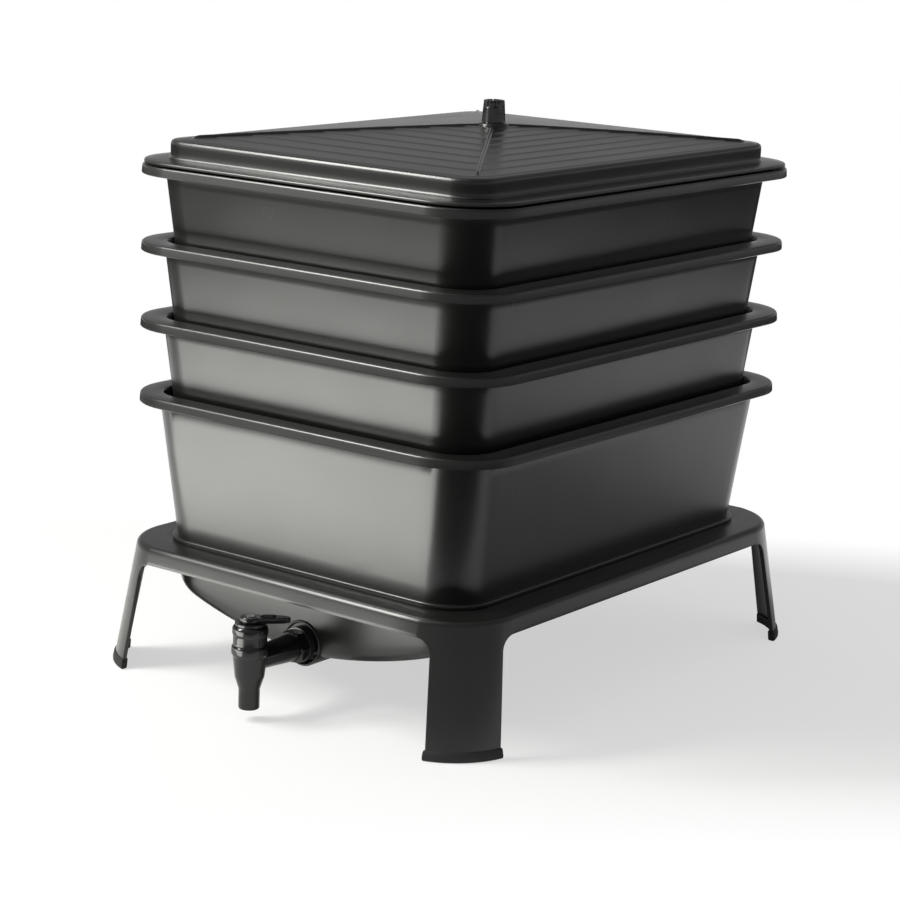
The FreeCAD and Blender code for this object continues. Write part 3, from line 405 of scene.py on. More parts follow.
def matt_white_paper(tree, place, tone):
    """Matt white table top, whitened towards its edge for the camera, gloss and glass.

    Gloss and glass see less of that white beside the object than the camera does. The
    distance from the middle is 1 on an ellipse through the table's left and front edges.
    """
    seen = add_node(tree, "LightPath", {})
    place = add_node(tree, "Mapping", {"vector_type": "TEXTURE", "Vector": place,
                                       "Rotation": (0, 0, math.radians(TABLE_TURN)),
                                       "Scale": (TABLE_LEFT, TABLE_FRONT, 1)})
    far = add_node(tree, "VectorMath", {"operation": "LENGTH", 0: place}).outputs["Value"]
    parts = []
    for ray, near, edge, least in ((seen.outputs["Is Camera Ray"], 0.7, 1.0, 0.58),
                                   (sent_on(tree, seen), 0.55, 0.9, 0.02)):
        white = add_node(tree, "MapRange", {"Value": far, "From Min": near, "From Max": edge,
                                            "To Min": least})
        parts.append(add_node(tree, "Math", {"operation": "MULTIPLY", 0: white, 1: ray}))
    share = add_node(tree, "Math", {"operation": "ADD", "use_clamp": True,
                                    0: parts[0], 1: parts[1]})
    paper = add_node(tree, "BsdfPrincipled", {"Base Color": tone, "Roughness": 0.9,
                                              "Specular IOR Level": 0.1})
    white = add_node(tree, "Emission", {"Color": (1, 1, 1, 1), "Strength": 1.0})
    return add_node(tree, "MixShader", {0: share, 1: paper, 2: white})


FINISHES = {"black_plastic": (satin_black_polypropylene, "moulding"),
            "tap_plastic": (polished_black_polypropylene, "tap"),
            "pad_rubber": (moulded_black_rubber, "rubber"),
            "seal_rubber": (moulded_black_rubber, "rubber"),
            "screw_steel": (zinc_plated_steel, "steel"),
            "floor": (matt_white_paper, "floor")}


def finish(slot):
    """The finish of the floor or of one of the record's material slots, made once."""
    maker, colour_name = FINISHES[slot]
    if maker.__name__ not in bpy.data.materials:
        material = bpy.data.materials.new(maker.__name__)
        material.use_nodes = True
        tree = material.node_tree
        tree.nodes.clear()
        place = add_node(tree, "TexCoord", {}).outputs["Object"]
        tone = tuple(getattr(bpy.context.scene.wormery_colours, colour_name))
        add_node(tree, "OutputMaterial", {"Surface": maker(tree, place, tone)})
    return bpy.data.materials[maker.__name__]


# Trays and collector.

# Drain slots, across and along a tray's base: their number, pitch and size.
SLOT_COUNTS, SLOT_PITCHES, SLOT_SIZE = (6, 11), (44.0, 34.0), (34.0, 6.0)
# Stacking ribs: their top below the flange, their reach in past a tray's foot, and their
# places on the side and end walls as shares of half the wall.
RIB_DROP, RIB_REACH = 44, 15
RIB_SHARES = ((-0.56, 0, 0.56), (-0.48, 0.48))
# Collar for the tap: (radius, distance along the barrel), its root behind the sump's wall,
# and the level of the barrel's axis.
BOSS, BOSS_ROOT = ((17, 0), (17, 47.5), (18.5, 50), (20, 49.2), (20, 0), (17, 0)), 48
TAP_LEVEL = 51.0
# The sump's floor: slope, blunting of its lowest line, curve, upturn and where that ends.
SUMP_SLOPE, SUMP_BLUNT, SUMP_CURVE, SUMP_UPTURN, SUMP_END = 0.077, 12, 0.000929, 4.7, 162.7


def slot_lines():
    """The two sets of lines on which the drain slots' edges lie, across and along."""
    lines = []
    for count, pitch, width in zip(SLOT_COUNTS, SLOT_PITCHES, SLOT_SIZE):
        middles = (np.arange(count) - (count - 1) / 2) * pitch
        lines.append(np.sort(np.hstack([middles - width / 2, middles + width / 2])))
    return lines


def base_core():
    """Half width and half depth of the rectangle between a tray base's corner centres."""
    return np.array([TRAY.half_width, TRAY.half_depth]) - TRAY.base_inset - TRAY.wall_corner


def tray_path():
    """The path round a tray, with a column at every line of the slot field."""
    return rounded_path(*(line / reach for line, reach in zip(slot_lines(), base_core())))


def flange_rows(level, wall_inset):
    """Rows over a flange: channel under it, turned-down lip, rounded edge, top, inner edge.

    The lip leans in by 0.45 towards the top, as a mould needs.
    """
    inner_inset = wall_inset + TRAY.wall - 0.8
    top = level + TRAY.flange_height
    lip, edge = TRAY.wall, TRAY.flange_edge
    outline = np.vstack([
        arc(wall_inset - 1.5, top - lip - 1.5, 1.5, 180, 90, 4),
        arc(lip + 1.2, top - lip - 1.2, 1.2, 90, 0, 4),
        [[lip, level + 0.6], [lip - 0.6, level], [0.6, level], [0, level + 0.6]],
        arc(edge + 0.45, top - edge, edge, 0, 90, 6),
        arc(inner_inset - 1.5, top - 1.5, 1.5, 90, 180, 5),
    ])
    return with_corner(outline, TRAY.flange_corner, 1)


def drained_base(low, high):
    """The slotted rectangle of a tray's base: both faces, and the walls of the slots."""
    xs, ys = (np.hstack([-reach, line, reach]) for reach, line in zip(base_core(), slot_lines()))
    grid_x, grid_y = np.meshgrid(xs, ys, indexing="ij")
    points = np.vstack([np.stack([grid_x, grid_y, np.full_like(grid_x, z)], -1).reshape(-1, 3)
                        for z in (low, high)])
    index = np.arange(grid_x.size).reshape(grid_x.shape)
    cell = np.stack([index[:-1, :-1], index[1:, :-1], index[1:, 1:], index[:-1, 1:]], -1)
    column, row = np.indices(cell.shape[:2])
    is_slot = (column % 2 == 1) & (row % 2 == 1)
    plate, slot = cell[~is_slot], cell[is_slot]
    upper = plate + grid_x.size
    walls = np.vstack([np.stack([slot[:, a], slot[:, b], slot[:, b] + grid_x.size,
                                 slot[:, a] + grid_x.size], 1)
                       for a, b in ((0, 1), (1, 2), (2, 3), (3, 0))])
    return points, np.vstack([plate[:, ::-1], upper, walls])


def stacking_ribs(floor, high, inset_low, inset_high):
    """Ten upright ribs on the inside walls, each a five-sided outline carried across.

    The function floor gives the levels of a rib's foot at two distances from the middle
    plane. Each loop is outline + (its middle - outline) * shrink, so the ends close in a
    point.
    """
    half = (TRAY.half_width, TRAY.half_depth)
    ribs = []
    places = [(axis, side, share * half[1 - axis])
              for axis in (0, 1) for side in (-1, 1) for share in RIB_SHARES[axis]]
    for axis, side, middle in places:
        back = np.array([half[axis] - inset_low - 1, half[axis] - inset_high - 1])
        front = half[axis] - TRAY.base_inset - RIB_REACH
        foot = floor(np.array([front, back[0]]) if axis == 0 else np.full(2, middle))
        outline = np.array([[front, foot[0]], [back[0], foot[1]], [back[1], high],
                            [front + 2, high], [front, high - 2]])
        loops = []
        for across, shrink in ((-2, 1), (-2, 0.02), (-1.6, 0), (1.6, 0), (2, 0.02), (2, 1)):
            depth, level = (outline + (outline.mean(0) - outline) * shrink).T
            lateral = np.full(len(depth), middle + across)
            pair = (side * depth, lateral) if axis == 0 else (lateral, side * depth)
            loops.append(np.stack([*pair, level], -1))
        ribs.append(patch(np.array(loops)))
    return ribs


def tray_shapes(level):
    """One tray: slotted base, drafted walls, flange and stacking ribs."""
    base, floor, foot = level - TRAY.depth, level - TRAY.depth + TRAY.wall, TRAY.base_inset
    outer_round, inner_round = 4, 5
    draft = (foot - TRAY.wall_inset) / TRAY.depth

    def wall_at(z):
        return TRAY.wall_inset + draft * (level - z)

    core = foot + TRAY.wall_corner
    outside = np.vstack([
        [[core, base], [foot + 12, base]],
        arc(foot + outer_round, base + outer_round, outer_round, -90, -5, 6),
        [[wall_at(z), z] for z in np.linspace(base + 8, level + 3, 9)]])
    inside = np.vstack([
        [[wall_at(z) + TRAY.wall, z] for z in np.linspace(level, base + 14, 7)],
        arc(foot + TRAY.wall + inner_round, floor + inner_round, inner_round, -180, -90, 5),
        [[foot + 16, floor], [core, floor]]])
    rows = np.vstack([base_corner(outside), flange_rows(level, TRAY.wall_inset),
                      base_corner(inside)])
    shell = patch(carried(tray_path(), from_insets(rows)))
    high = level - RIB_DROP
    ribs = stacking_ribs(lambda x: np.full(2, floor - 0.5), high, foot, wall_at(high))
    return [shell, drained_base(base, floor)] + ribs


def base_corner(points):
    """Adds the corner radius of wall and base rows: wall_corner on the wall, and in from the
    wall's foot that less the distance to the foot."""
    inset = points[:, 0]
    under = TRAY.wall_corner + TRAY.base_inset - inset
    radius = np.where(inset > TRAY.base_inset + TRAY.wall + 0.2, under, TRAY.wall_corner)
    return with_corner(points, np.maximum(radius, 0))


class WORMERY_OT_trays(bpy.types.Operator):
    """Builds the three equal worm trays."""
    bl_idname = "wormery.trays"
    bl_label = "Worm Trays"

    def execute(self, context):
        for number in (1, 2, 3):
            node = f"tray_{number}"
            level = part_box(node)[1].z * 1000 - TRAY.flange_height
            make_piece(f"worm_{node}", tray_shapes(level), node, "black_plastic", node)
        return {"FINISHED"}


def sump_floor(x):
    """Outside level of the collector's base at a distance x from its lowest line.

    lowest + slope (sqrt(x^2 + blunt^2) - blunt) + curve x^2 + upturn (|x| / end)^8
    """
    reach = np.abs(x)
    return (COLLECTOR.lowest + SUMP_SLOPE * (np.sqrt(reach ** 2 + SUMP_BLUNT ** 2) - SUMP_BLUNT)
            + SUMP_CURVE * reach ** 2 + SUMP_UPTURN * (reach / SUMP_END) ** 8)


def collector_shapes():
    """Flange, sloping walls with a seating bead, the V-shaped sump and the tap's boss."""
    level, shoulder = COLLECTOR.level, COLLECTOR.shoulder
    slope = (COLLECTOR.shoulder_inset - COLLECTOR.wall_inset) / (level - shoulder)
    path = rounded_path(np.linspace(-1, 1, 26)[1:-1], np.linspace(-1, 1, 30)[1:-1])

    def wall_at(z):
        return COLLECTOR.wall_inset + slope * (level - z)

    seat = STAND.ring_top
    bead = wall_at(seat) - COLLECTOR.bead
    lower = [[wall_at(z), z] for z in (shoulder, (shoulder + seat) / 2, seat - 0.1)]
    round_bead = np.vstack([arc(bead + 0.6, seat + 0.6, 0.6, -90, 0, 3),
                            arc(bead + 1.2, seat + 2.8, 1.2, 0, 90, 5)])
    upper = [[wall_at(z), z] for z in np.hstack([seat + 4, np.linspace(seat + 8, level + 3, 8)])]
    inner = [[wall_at(z) + TRAY.wall, z] for z in np.linspace(level, shoulder, 9)]
    rows = np.vstack([with_corner(lower, TRAY.wall_corner),
                      with_corner(round_bead, TRAY.wall_corner + wall_at(seat), 1),
                      with_corner(upper, TRAY.wall_corner),
                      flange_rows(level, COLLECTOR.wall_inset),
                      with_corner(inner, TRAY.wall_corner)])
    shell = np.concatenate([sump_rows(path, 0.0)[::-1], carried(path, from_insets(rows)),
                            sump_rows(path, TRAY.wall)])
    face = TRAY.half_depth - COLLECTOR.shoulder_inset
    boss = moved(turned(BOSS, 56, 0.8), TO_FRONT, (0, BOSS_ROOT - face, TAP_LEVEL))
    return [patch(shell), boss]


def sump_rows(path, thickness):
    """Rows from the shoulder down the sump's wall, round its edge and in along the V.

    A wall row lies at shoulder + share * (floor + round - shoulder); edge rows follow a
    quarter circle; base rows shrink the outline towards the middle on the floor's level.
    """
    bend = COLLECTOR.base_round - thickness / 2

    def ring_at(step):
        inset = thickness + step
        row = [COLLECTOR.shoulder_inset + inset, TRAY.wall_corner - inset, 0]
        return carried(path, from_insets([row]))[0]

    grids = []
    for share in (0.25, 0.5, 0.75):
        ring = ring_at(0)
        floor = sump_floor(ring[:, 0]) + thickness + bend
        ring[:, 2] = COLLECTOR.shoulder + share * (floor - COLLECTOR.shoulder)
        grids.append(ring)
    for angle in np.radians(np.linspace(0, 90, 6)):
        ring = ring_at(bend * (1 - math.cos(angle)))
        ring[:, 2] = sump_floor(ring[:, 0]) + thickness + bend * (1 - math.sin(angle))
        grids.append(ring)
    edge = grids[-1]
    for share in np.linspace(0.93, 0, 14):
        ring = edge * (share, share, 1)
        ring[:, 2] = sump_floor(ring[:, 0]) + thickness
        grids.append(ring)
    return np.array(grids)


class WORMERY_OT_collector(bpy.types.Operator):
    """Builds the liquid collector."""
    bl_idname = "wormery.collector"
    bl_label = "Liquid Collector"

    def execute(self, context):
        ribs = stacking_ribs(lambda x: sump_floor(x) + 2, COLLECTOR.level - RIB_DROP,
                             COLLECTOR.shoulder_inset + 2.4, COLLECTOR.wall_inset + 5)
        make_piece("liquid_collector", collector_shapes() + ribs, "base", "black_plastic",
                   "collector")
        return {"FINISHED"}


# Stand and foot pads.

# Corner radii at the ring's opening, at its outside and at the feet.
OPENING_CORNER, RING_CORNER, FOOT_CORNER = 36, 64, 66
# Rounding of the ring's upper edge, whose rows close in by a little less than a circle's.
RING_EDGE, EDGE_REACH = 4.2, 0.96
# Levels of the legs' lower ends, inside the pads, and of the lip's inside the ring.
LEG_END, LIP_END = 3.0, 104.0
LEG_COLUMNS, GAP_COLUMNS = 33, 12


def corner_point(along, half_width, half_depth, radius):
    """Points of the front right quarter of a rounded outline at lengths along it.

    Length 0 is where the arc begins: less runs along the front, 0 to a quarter circle runs
    round the corner, more runs along the side.
    """
    quarter = np.pi / 2 * radius
    angle = np.clip(along, 0, quarter) / radius
    x = half_width - radius + np.minimum(along, 0) + radius * np.sin(angle)
    y = -(half_depth - radius) - radius * np.cos(angle) + np.maximum(along - quarter, 0)
    return x, y


def length_at(reach, half, radius):
    """Length before (negative) or past the arc's start at which x, or y, equals reach."""
    past = np.clip((reach - (half - radius)) / radius, 0, 1)
    return np.minimum(reach - (half - radius), 0) + radius * np.arcsin(past)


def gap_edge(level, top, floor):
    """Half width of a gap at a level: a leaning edge with a round upper corner."""
    high, radius = STAND.skirt, STAND.gap_round
    lean = math.atan2(floor - top, high)
    centre = top - radius * (1 - math.sin(lean)) / math.cos(lean)
    above = level - (high - radius)
    straight = floor + (top - floor) * level / high
    curve = centre + np.sqrt(np.maximum(radius ** 2 - above ** 2, 0))
    touch = (high - radius) + radius * math.sin(lean)
    return np.where(level > touch, curve, straight)


def stand_outline(level):
    """Half width, half depth and corner radius of the stand's outside at a level."""
    share = (STAND.ring_top - level) / (STAND.ring_top - LEG_END)
    over = STAND.ring_over + share * (STAND.foot_over - STAND.ring_over)
    corner = RING_CORNER + (FOOT_CORNER - RING_CORNER) * share
    return TRAY.half_width + over, TRAY.half_depth + over, corner


def leg_rows(rows):
    """Points of the front right leg: each row (half width, half depth, radius, gap level, z)."""
    half_width, half_depth, radius, gap_level, level = np.asarray(rows, float).T
    front = gap_edge(gap_level, STAND.front_gap_top, STAND.front_gap_floor)
    side = gap_edge(gap_level, STAND.side_gap_top, STAND.side_gap_floor)
    start = length_at(front, half_width, radius)
    end = np.pi / 2 * radius - length_at(side, half_depth, radius)
    share = np.linspace(0, 1, LEG_COLUMNS)
    along = start[:, None] + (end - start)[:, None] * share
    x, y = corner_point(along, half_width[:, None], half_depth[:, None], radius[:, None])
    return np.stack([x, y, np.repeat(level[:, None], LEG_COLUMNS, 1)], -1)


def mirrored(grid, x_sign, y_sign):
    """The grid in another corner, its columns still anticlockwise."""
    other = grid * (x_sign, y_sign, 1)
    return other if x_sign * y_sign > 0 else other[:, ::-1]


def stand_shape():
    """One sheet: lip, ring and skirt all round, and four legs below the skirt.

    The gaps between the legs are straight lines across from one leg's columns to the next's.
    """
    top, opening, skirt = STAND.ring_top, STAND.opening, STAND.skirt
    rows = []
    for inset, level in np.vstack([
            [[opening, LIP_END], [opening, top - 2.2]],
            arc(opening - 1.6, top - 1.6, 1.6, 180, 90, 4),
            [[opening - 10, top], [opening - 20, top], [2.4, top]]]):
        share = (opening - inset) / (opening + STAND.ring_over)
        corner = OPENING_CORNER + (RING_CORNER - OPENING_CORNER) * share
        rows.append((TRAY.half_width - inset, TRAY.half_depth - inset, corner, skirt, level))
    for angle in np.radians(np.linspace(90, 8, 6)):
        level = top - RING_EDGE * (1 - math.sin(angle))
        step = RING_EDGE * (1 - math.cos(angle)) * EDGE_REACH
        rows.append((*(size - step for size in stand_outline(level)), skirt, level))
    rows += [(*stand_outline(level), skirt, level) for level in (top - 5, 103.0, 100.0, skirt)]
    drop = STAND.gap_round * (1 - np.cos(np.linspace(0.12, np.pi / 2, 9)))
    levels = np.hstack([skirt - drop, np.linspace(skirt - STAND.gap_round - 8, LEG_END, 12)])
    ring = leg_rows(rows)
    legs = leg_rows([(*stand_outline(level), level, level) for level in levels])
    corners = [(mirrored(ring, x, y), mirrored(legs, x, y))
               for x, y in ((1, 1), (1, -1), (-1, -1), (-1, 1))]
    share = np.linspace(0, 1, GAP_COLUMNS)[None, :, None]
    shapes = []
    for (here, leg), (after, _) in zip(corners, corners[1:] + corners[:1]):
        gap = here[:, -1:] * (1 - share) + after[:, :1] * share
        shapes += [patch(np.concatenate([here, leg])[::-1], across=False),
                   patch(gap[::-1], across=False)]
    return shapes


def foot_pad_shape(x_sign, y_sign):
    """A soft shoe round the lower end of a leg: a rounded cross-section along the leg's end."""
    profile = [(-1.5, 0.0), (-0.3, 0.0), (0.9, 0.5), (1.45, 1.4), (1.5, 3.0), (1.3, 8.0),
               (0.7, 8.9), (-0.2, 9.0), (-4.0, 9.0), (-5.0, 8.8), (-5.4, 8.0), (-5.4, 1.2),
               (-4.8, 0.2), (-4.0, 0.0)]
    rows = []
    for out, level in profile:
        outline = stand_outline(max(level, LEG_END))
        rows.append((*(size + out for size in outline), 4.0, level))
    grid = leg_rows(rows)
    ends = []
    for rim, inner in ((grid[:, :1], grid[:, 1:2]), (grid[:, -1:], grid[:, -2:-1])):
        way = (rim - inner) / np.linalg.norm(rim - inner, axis=-1, keepdims=True)
        middle = rim.mean(0, keepdims=True)
        out = way.mean(0, keepdims=True) * 2.0
        ends.append(np.concatenate([rim + way * 1.2, middle + (rim - middle) * 0.8 + way * 1.9,
                                    np.repeat(middle + out, len(rim), 0)], 1))
    grid = np.concatenate([ends[0][:, ::-1], grid, ends[1]], 1)
    return patch(mirrored(grid, x_sign, y_sign)[::-1], across=False, along=True)


class WORMERY_OT_stand(bpy.types.Operator):
    """Builds the ring stand with its four legs and foot pads."""
    bl_idname = "wormery.stand"
    bl_label = "Stand and Foot Pads"

    def execute(self, context):
        thick = context.scene.wormery_stand.thickness
        make_piece("ring_stand", stand_shape(), "base", "black_plastic", "stand",
                   modifiers=[("SOLIDIFY", {"thickness": thick, "offset": -1,
                                            "use_even_offset": True}),
                              ("BEVEL", {"width": 0.0004, "segments": 2,
                                         "limit_method": "ANGLE",
                                         "angle_limit": math.radians(50)})])
        for end, y_sign in (("front", 1), ("back", -1)):
            for side, x_sign in (("left", -1), ("right", 1)):
                make_piece(f"shoe_{end}_{side}", [foot_pad_shape(x_sign, y_sign)], "base",
                           "pad_rubber", f"foot_pad_{end}_{side}")
        return {"FINISHED"}


# Lid.

# A louvre from its foot round its nose: (share of its run, share of its upright face).
LOUVRE = ((0, 0), (0.04, 0.12), (0.12, 0.7), (0.19, 0.96), (0.26, 1))
LOUVRE_END = 0.96
# Reach of the locating skirt down into the top tray; height of the knob and its grooves.
SKIRT_REACH, KNOB_HEIGHT, GROOVE_HEIGHT = 9, 20, 6.5


def roof_rise(share):
    """Height over the rim at a share of the way to the peak: rise * (1 - (1 - share)^1.2)."""
    return LID.rise * (1 - (1 - share) ** 1.2)


def roof_profile():
    """(share of the way to the peak, height over the rim) of the louvred roof."""
    count = bpy.context.scene.wormery_lid.louvres
    steps = np.arange(count + 1) / count
    rows = []
    for start, after in zip(steps[:-1], steps[1:]):
        rows += [(start + run / count, roof_rise(start) + face * LID.louvre_face)
                 for run, face in LOUVRE]
        rows.append((start + LOUVRE_END / count, roof_rise(after)))
    return np.array(rows + [(1.0, LID.rise)])


def roof_core():
    """Half width and half depth of the louvred roof at its foot."""
    return np.array([TRAY.half_width, TRAY.half_depth]) - LID.rim_inset - LID.border


def shrunk(core, corner, shares, levels):
    """Rows for carried: a rectangle and its corner radius times 1 - share, at levels."""
    left = 1 - shares
    return np.stack([core[0] * left, core[1] * left, corner * left, levels], 1)


def lid_shapes():
    """Lid from the underside of its roof, over skirt, flange and rim, up the louvres.

    Its outline is rows of (inset, level), and its roofs are rectangles (1 - share) times the
    rim's, moved to the right by peak_side times the share of the way up.
    """
    level = STACK_TOP
    rim_top = level + LID.rim_height
    rim, edge, wall = LID.rim_inset, 3.6, TRAY.wall
    under = np.array([[1.0, rim_top + LID.rise - 4], [0.5, rim_top + LID.rise * 0.56 - 4],
                      [0.06, rim_top - wall]])
    half = np.array([TRAY.half_width - rim - wall, TRAY.half_depth - rim - wall])
    inner = shrunk(half, LID.rim_corner - wall, *under.T)
    low = level - SKIRT_REACH
    outline = np.vstack([
        [[rim + wall, rim_top - wall - 2], [rim + wall, level], [rim + wall, low + 0.5],
         [rim + wall - 0.5, low], [rim + 0.5, low], [rim, low + 0.5], [rim, level - 0.4],
         [rim - 0.4, level], [13, level], [12.4, level + 1.2], [2.6, level + 1.2],
         [2, level + 1.7]],
        arc(3.5, level + 2.6, 1.5, 0, 75, 6),
        [[12, level + 4.3]],
        arc(rim - 2.6, level + 7.1, 2.6, -83, -180, 6),
        [[rim, level + 10], [rim, rim_top - edge - 2]],
        arc(rim + edge, rim_top - edge, edge, 0, 90, 7)])
    corner = np.where(outline[:, 0] < rim - 2, TRAY.flange_corner, LID.rim_corner + rim)
    rows = from_insets(with_corner(outline, corner, 1))
    louvres = roof_profile()
    roof = shrunk(roof_core(), LID.rim_corner - 4, louvres[:, 0], rim_top + louvres[:, 1])
    path = rounded_path(np.linspace(-1, 1, 20)[1:-1], np.linspace(-1, 1, 26)[1:-1], 11)
    grid = carried(path, np.vstack([inner, rows, roof]))
    grid[..., 0] += LID.peak_side * np.hstack([under[:, 0], np.zeros(len(rows)),
                                               louvres[:, 0]])[:, None]
    return [patch(grid)]


def hip_ridge(x_sign, y_sign):
    """A plain rounded bar down one hip from the peak: an arch carried along the hip.

    Its lateral reach is half * cos and its lift sin^0.8 of the arch's angle; the foot swells
    from a line over four half widths and the head ends in one, so the bar is closed.
    """
    rim_top = STACK_TOP + LID.rim_height
    peak = np.array([LID.peak_side, 0.0])
    corner = roof_core() * (x_sign, y_sign)
    reach = np.linalg.norm(corner - peak)
    way = (corner - peak) / reach
    across = np.array([-way[1], way[0]])
    foot, head, sunk = 0.075, 0.965, 2
    half, over = LID.ridge_width / 2, LID.louvre_face + 0.9
    start, taper = np.linspace(0, 1, 9)[:-1], 4 * half / reach
    share = np.hstack([foot + start * taper, np.linspace(foot + taper, head, 30), head])
    swell = np.hstack([np.sqrt(1 - (1 - start) ** 2), np.ones(30), 0])
    angle = np.linspace(0, np.pi, 11)
    lateral = half * np.cos(angle)
    lift = np.sin(angle) ** 0.8
    level = rim_top + roof_rise(share)
    spine = peak + (reach * (1 - share))[:, None] * way
    xy = spine[:, None, :] + (swell[:, None] * lateral)[..., None] * across
    z = level[:, None] - sunk + (over + sunk) * lift * np.maximum(swell, 0.15)[:, None]
    return patch(np.concatenate([xy, z[..., None]], -1))


def knob_shapes():
    """Round seat and a tapered peg with scalloped upper edge and a dished top."""
    seat_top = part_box("lid_knob")[0].z * 1000
    seat = turned([[0, seat_top - 6], [14.2, seat_top - 6], [13, seat_top], [0, seat_top]],
                  56, 1.0)
    top = seat_top + KNOB_HEIGHT
    groove = top - GROOVE_HEIGHT
    foot, head = LID.knob_foot, LID.knob_top

    def flute(angle, height):
        """Eight scallops, cut (cos 8a)-wise into the upper third of the knob."""
        depth = np.clip((height - groove) / 1.5, 0, 1)
        return -1.1 * depth * np.maximum(np.cos(8 * angle), 0) ** 3

    knob = turned([[0, seat_top], [foot + 0.35, seat_top], [foot, seat_top + 1.2],
                   [head + 0.45, groove], [head + 0.3, top - 4.6], [head, top],
                   [head - 2.0, top], [head - 3.2, top - 1.5], [0, top - 1.6]], 96, 0.7, flute)
    return [moved(shape, None, (LID.peak_side, 0, 0)) for shape in (seat, knob)]


class WORMERY_OT_lid(bpy.types.Operator):
    """Builds the lid and its knob."""
    bl_idname = "wormery.lid"
    bl_label = "Lid and Knob"

    def execute(self, context):
        seat, knob = knob_shapes()
        ridges = [hip_ridge(x, y) for x in (1, -1) for y in (1, -1)]
        make_piece("stepped_lid", lid_shapes() + ridges + [seat], "lid", "black_plastic", "lid",
                   sharp=32)
        make_piece("grooved_knob", [knob], "lid", "black_plastic", "lid_knob", "tap_plastic")
        return {"FINISHED"}


# Tap.

# Degrees from the right round to the closed lever, towards the back.
LEVER_TURN = 41


def tap_places():
    """Places along the barrel: the washer's outer face, and the axis of housing and spout."""
    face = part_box("tap_washer_outer")[0].y * 1000 - TRAY.middle
    spout = (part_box("tap_plug")[0].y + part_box("tap_plug")[1].y) * 500 - TRAY.middle
    return face, spout


def hexagon(radius, low, high, chamfer, columns=96):
    """A hexagonal block whose corners are turned down: radius is the least of the hexagon's
    own radius and a cone's, over angle and height."""
    angle = np.linspace(0, 2 * np.pi, columns, endpoint=False)
    height = np.array([low, low, low + chamfer, low + 2 * chamfer, high - 2 * chamfer,
                       high - chamfer, high, high])
    limit = np.array([0, 0.9, 0.97, 1.2, 1.2, 0.97, 0.9, 0])
    flat = np.cos(np.pi / 6) / np.cos((angle % (np.pi / 3)) - np.pi / 6)
    reach = radius * np.minimum(flat[None, :], limit[:, None])
    return patch(np.stack([reach * np.cos(angle), reach * np.sin(angle),
                           np.repeat(height[:, None], columns, 1)], -1))


def tap_shapes():
    """Shank, flange, hexagon and neck along the barrel; housing, cone and tube on the spout.

    Their profiles are (radius, distance out from the washer) and (radius, level).
    """
    face, spout = tap_places()
    end = face - spout - 9
    shank = turned([[6, -22], [9.4, -22], [9.4, 0], [6, 0], [6, -22]], 40, 0)
    flange = turned([[0, 0], [15.5, 0], [15.5, 2.5], [0, 2.5]], 64, 0.8)
    hexed = hexagon(12.5 / math.cos(math.pi / 6), 1.5, 12, 0.9)
    neck = turned([[0, 11], [12, 11], [12, 13], [9.5, end], [0, end]], 48, 1.2)
    housing = turned([[6.5, 10], [8.1, 10], [8.9, 10.9], [8.9, 27], [12.4, 38], [14.2, 56],
                      [15.4, 58], [15.4, 64], [14.2, 65.6], [14.2, 74], [15, 75.2], [15, 80],
                      [13.6, 82], [10.5, 82], [10.5, 40], [6.5, 38], [6.5, 10]], 72, 0.8)
    barrel = [moved(shape, TO_FRONT, (0, face, TAP_LEVEL))
              for shape in (shank, flange, hexed, neck)]
    return barrel + [moved(housing, None, (0, spout, 0))]


def lever_shape():
    """A flat lever: superellipse outlines in plan stacked in levels, with a raised grip.

    An outline is x = sign(cos a) |cos a|^0.75 and y alike with the sine, and narrows along x;
    rows are (share of the outline, level).
    """
    _, spout = tap_places()
    columns, centre, half = 72, 12.0, 21.0
    along = np.linspace(0, 2 * np.pi, columns, endpoint=False)
    x, y = (np.sign(way) * np.abs(way) ** 0.75 for way in (np.cos(along), np.sin(along)))
    width = 7.5 - 3.2 * (x + 1) / 2
    rows = [(0.0, 84.5), (0.93, 84.5), (1.0, 85.1), (1.0, 88.3), (0.95, 89.1), (0.86, 89.5),
            (0.0, 89.5)]
    grid = np.array([np.stack([centre + half * x * (1 - (1 - s) * 0.6 if s else 0),
                               y * width * s, np.full(columns, z)], -1) for s, z in rows])
    rib_rows = [(0.0, 88.5), (1.0, 88.5), (1.0, 90.6), (0.8, 91.3), (0.0, 91.5)]
    rib = np.array([np.stack([14.5 + 6.5 * np.cos(along) * s, 1.7 * np.sin(along) * s,
                              np.full(columns, z)], -1) for s, z in rib_rows])
    hub = turned([[0, 84.5], [8.6, 84.5], [8.6, 88.8], [7.6, 89.7], [4.4, 89.7], [4.2, 88.2],
                  [0, 88.2]], 56, 0.6)
    turn = Matrix.Rotation(math.radians(LEVER_TURN), 4, "Z")
    return [moved(shape, turn, (0, spout, 0)) for shape in (patch(grid), patch(rib), hub)]


class WORMERY_OT_tap(bpy.types.Operator):
    """Builds the plug tap's body and lever and dresses its other pieces."""
    bl_idname = "wormery.tap"
    bl_label = "Tap"

    def execute(self, context):
        make_piece("plug_tap", tap_shapes(), "base", "tap_plastic", "tap_body", sharp=30)
        make_piece("tap_handle", lever_shape(), "tap_key", "tap_plastic", "tap_lever", sharp=30)
        slots = {entry["node"]: entry["material_slot"] for entry in frame["record"]["subparts"]}
        for node, item in frame["nodes"].items():
            if not item.hide_render:
                item.data.materials.clear()
                item.data.materials.append(finish(slots[node]))
        return {"FINISHED"}


# Studio.

# The camera's right, up and backward directions, and its place from the stack's middle.
CAMERA_AXES = np.array([(0.79368, 0.60719, 0.03732), (-0.16810, 0.15996, 0.97270),
                        (0.58464, -0.77829, 0.22902)])
CAMERA_PLACE = np.array([1.31613, -1.77228, 0.70232])
LENS, SENSOR = 100.39, 36
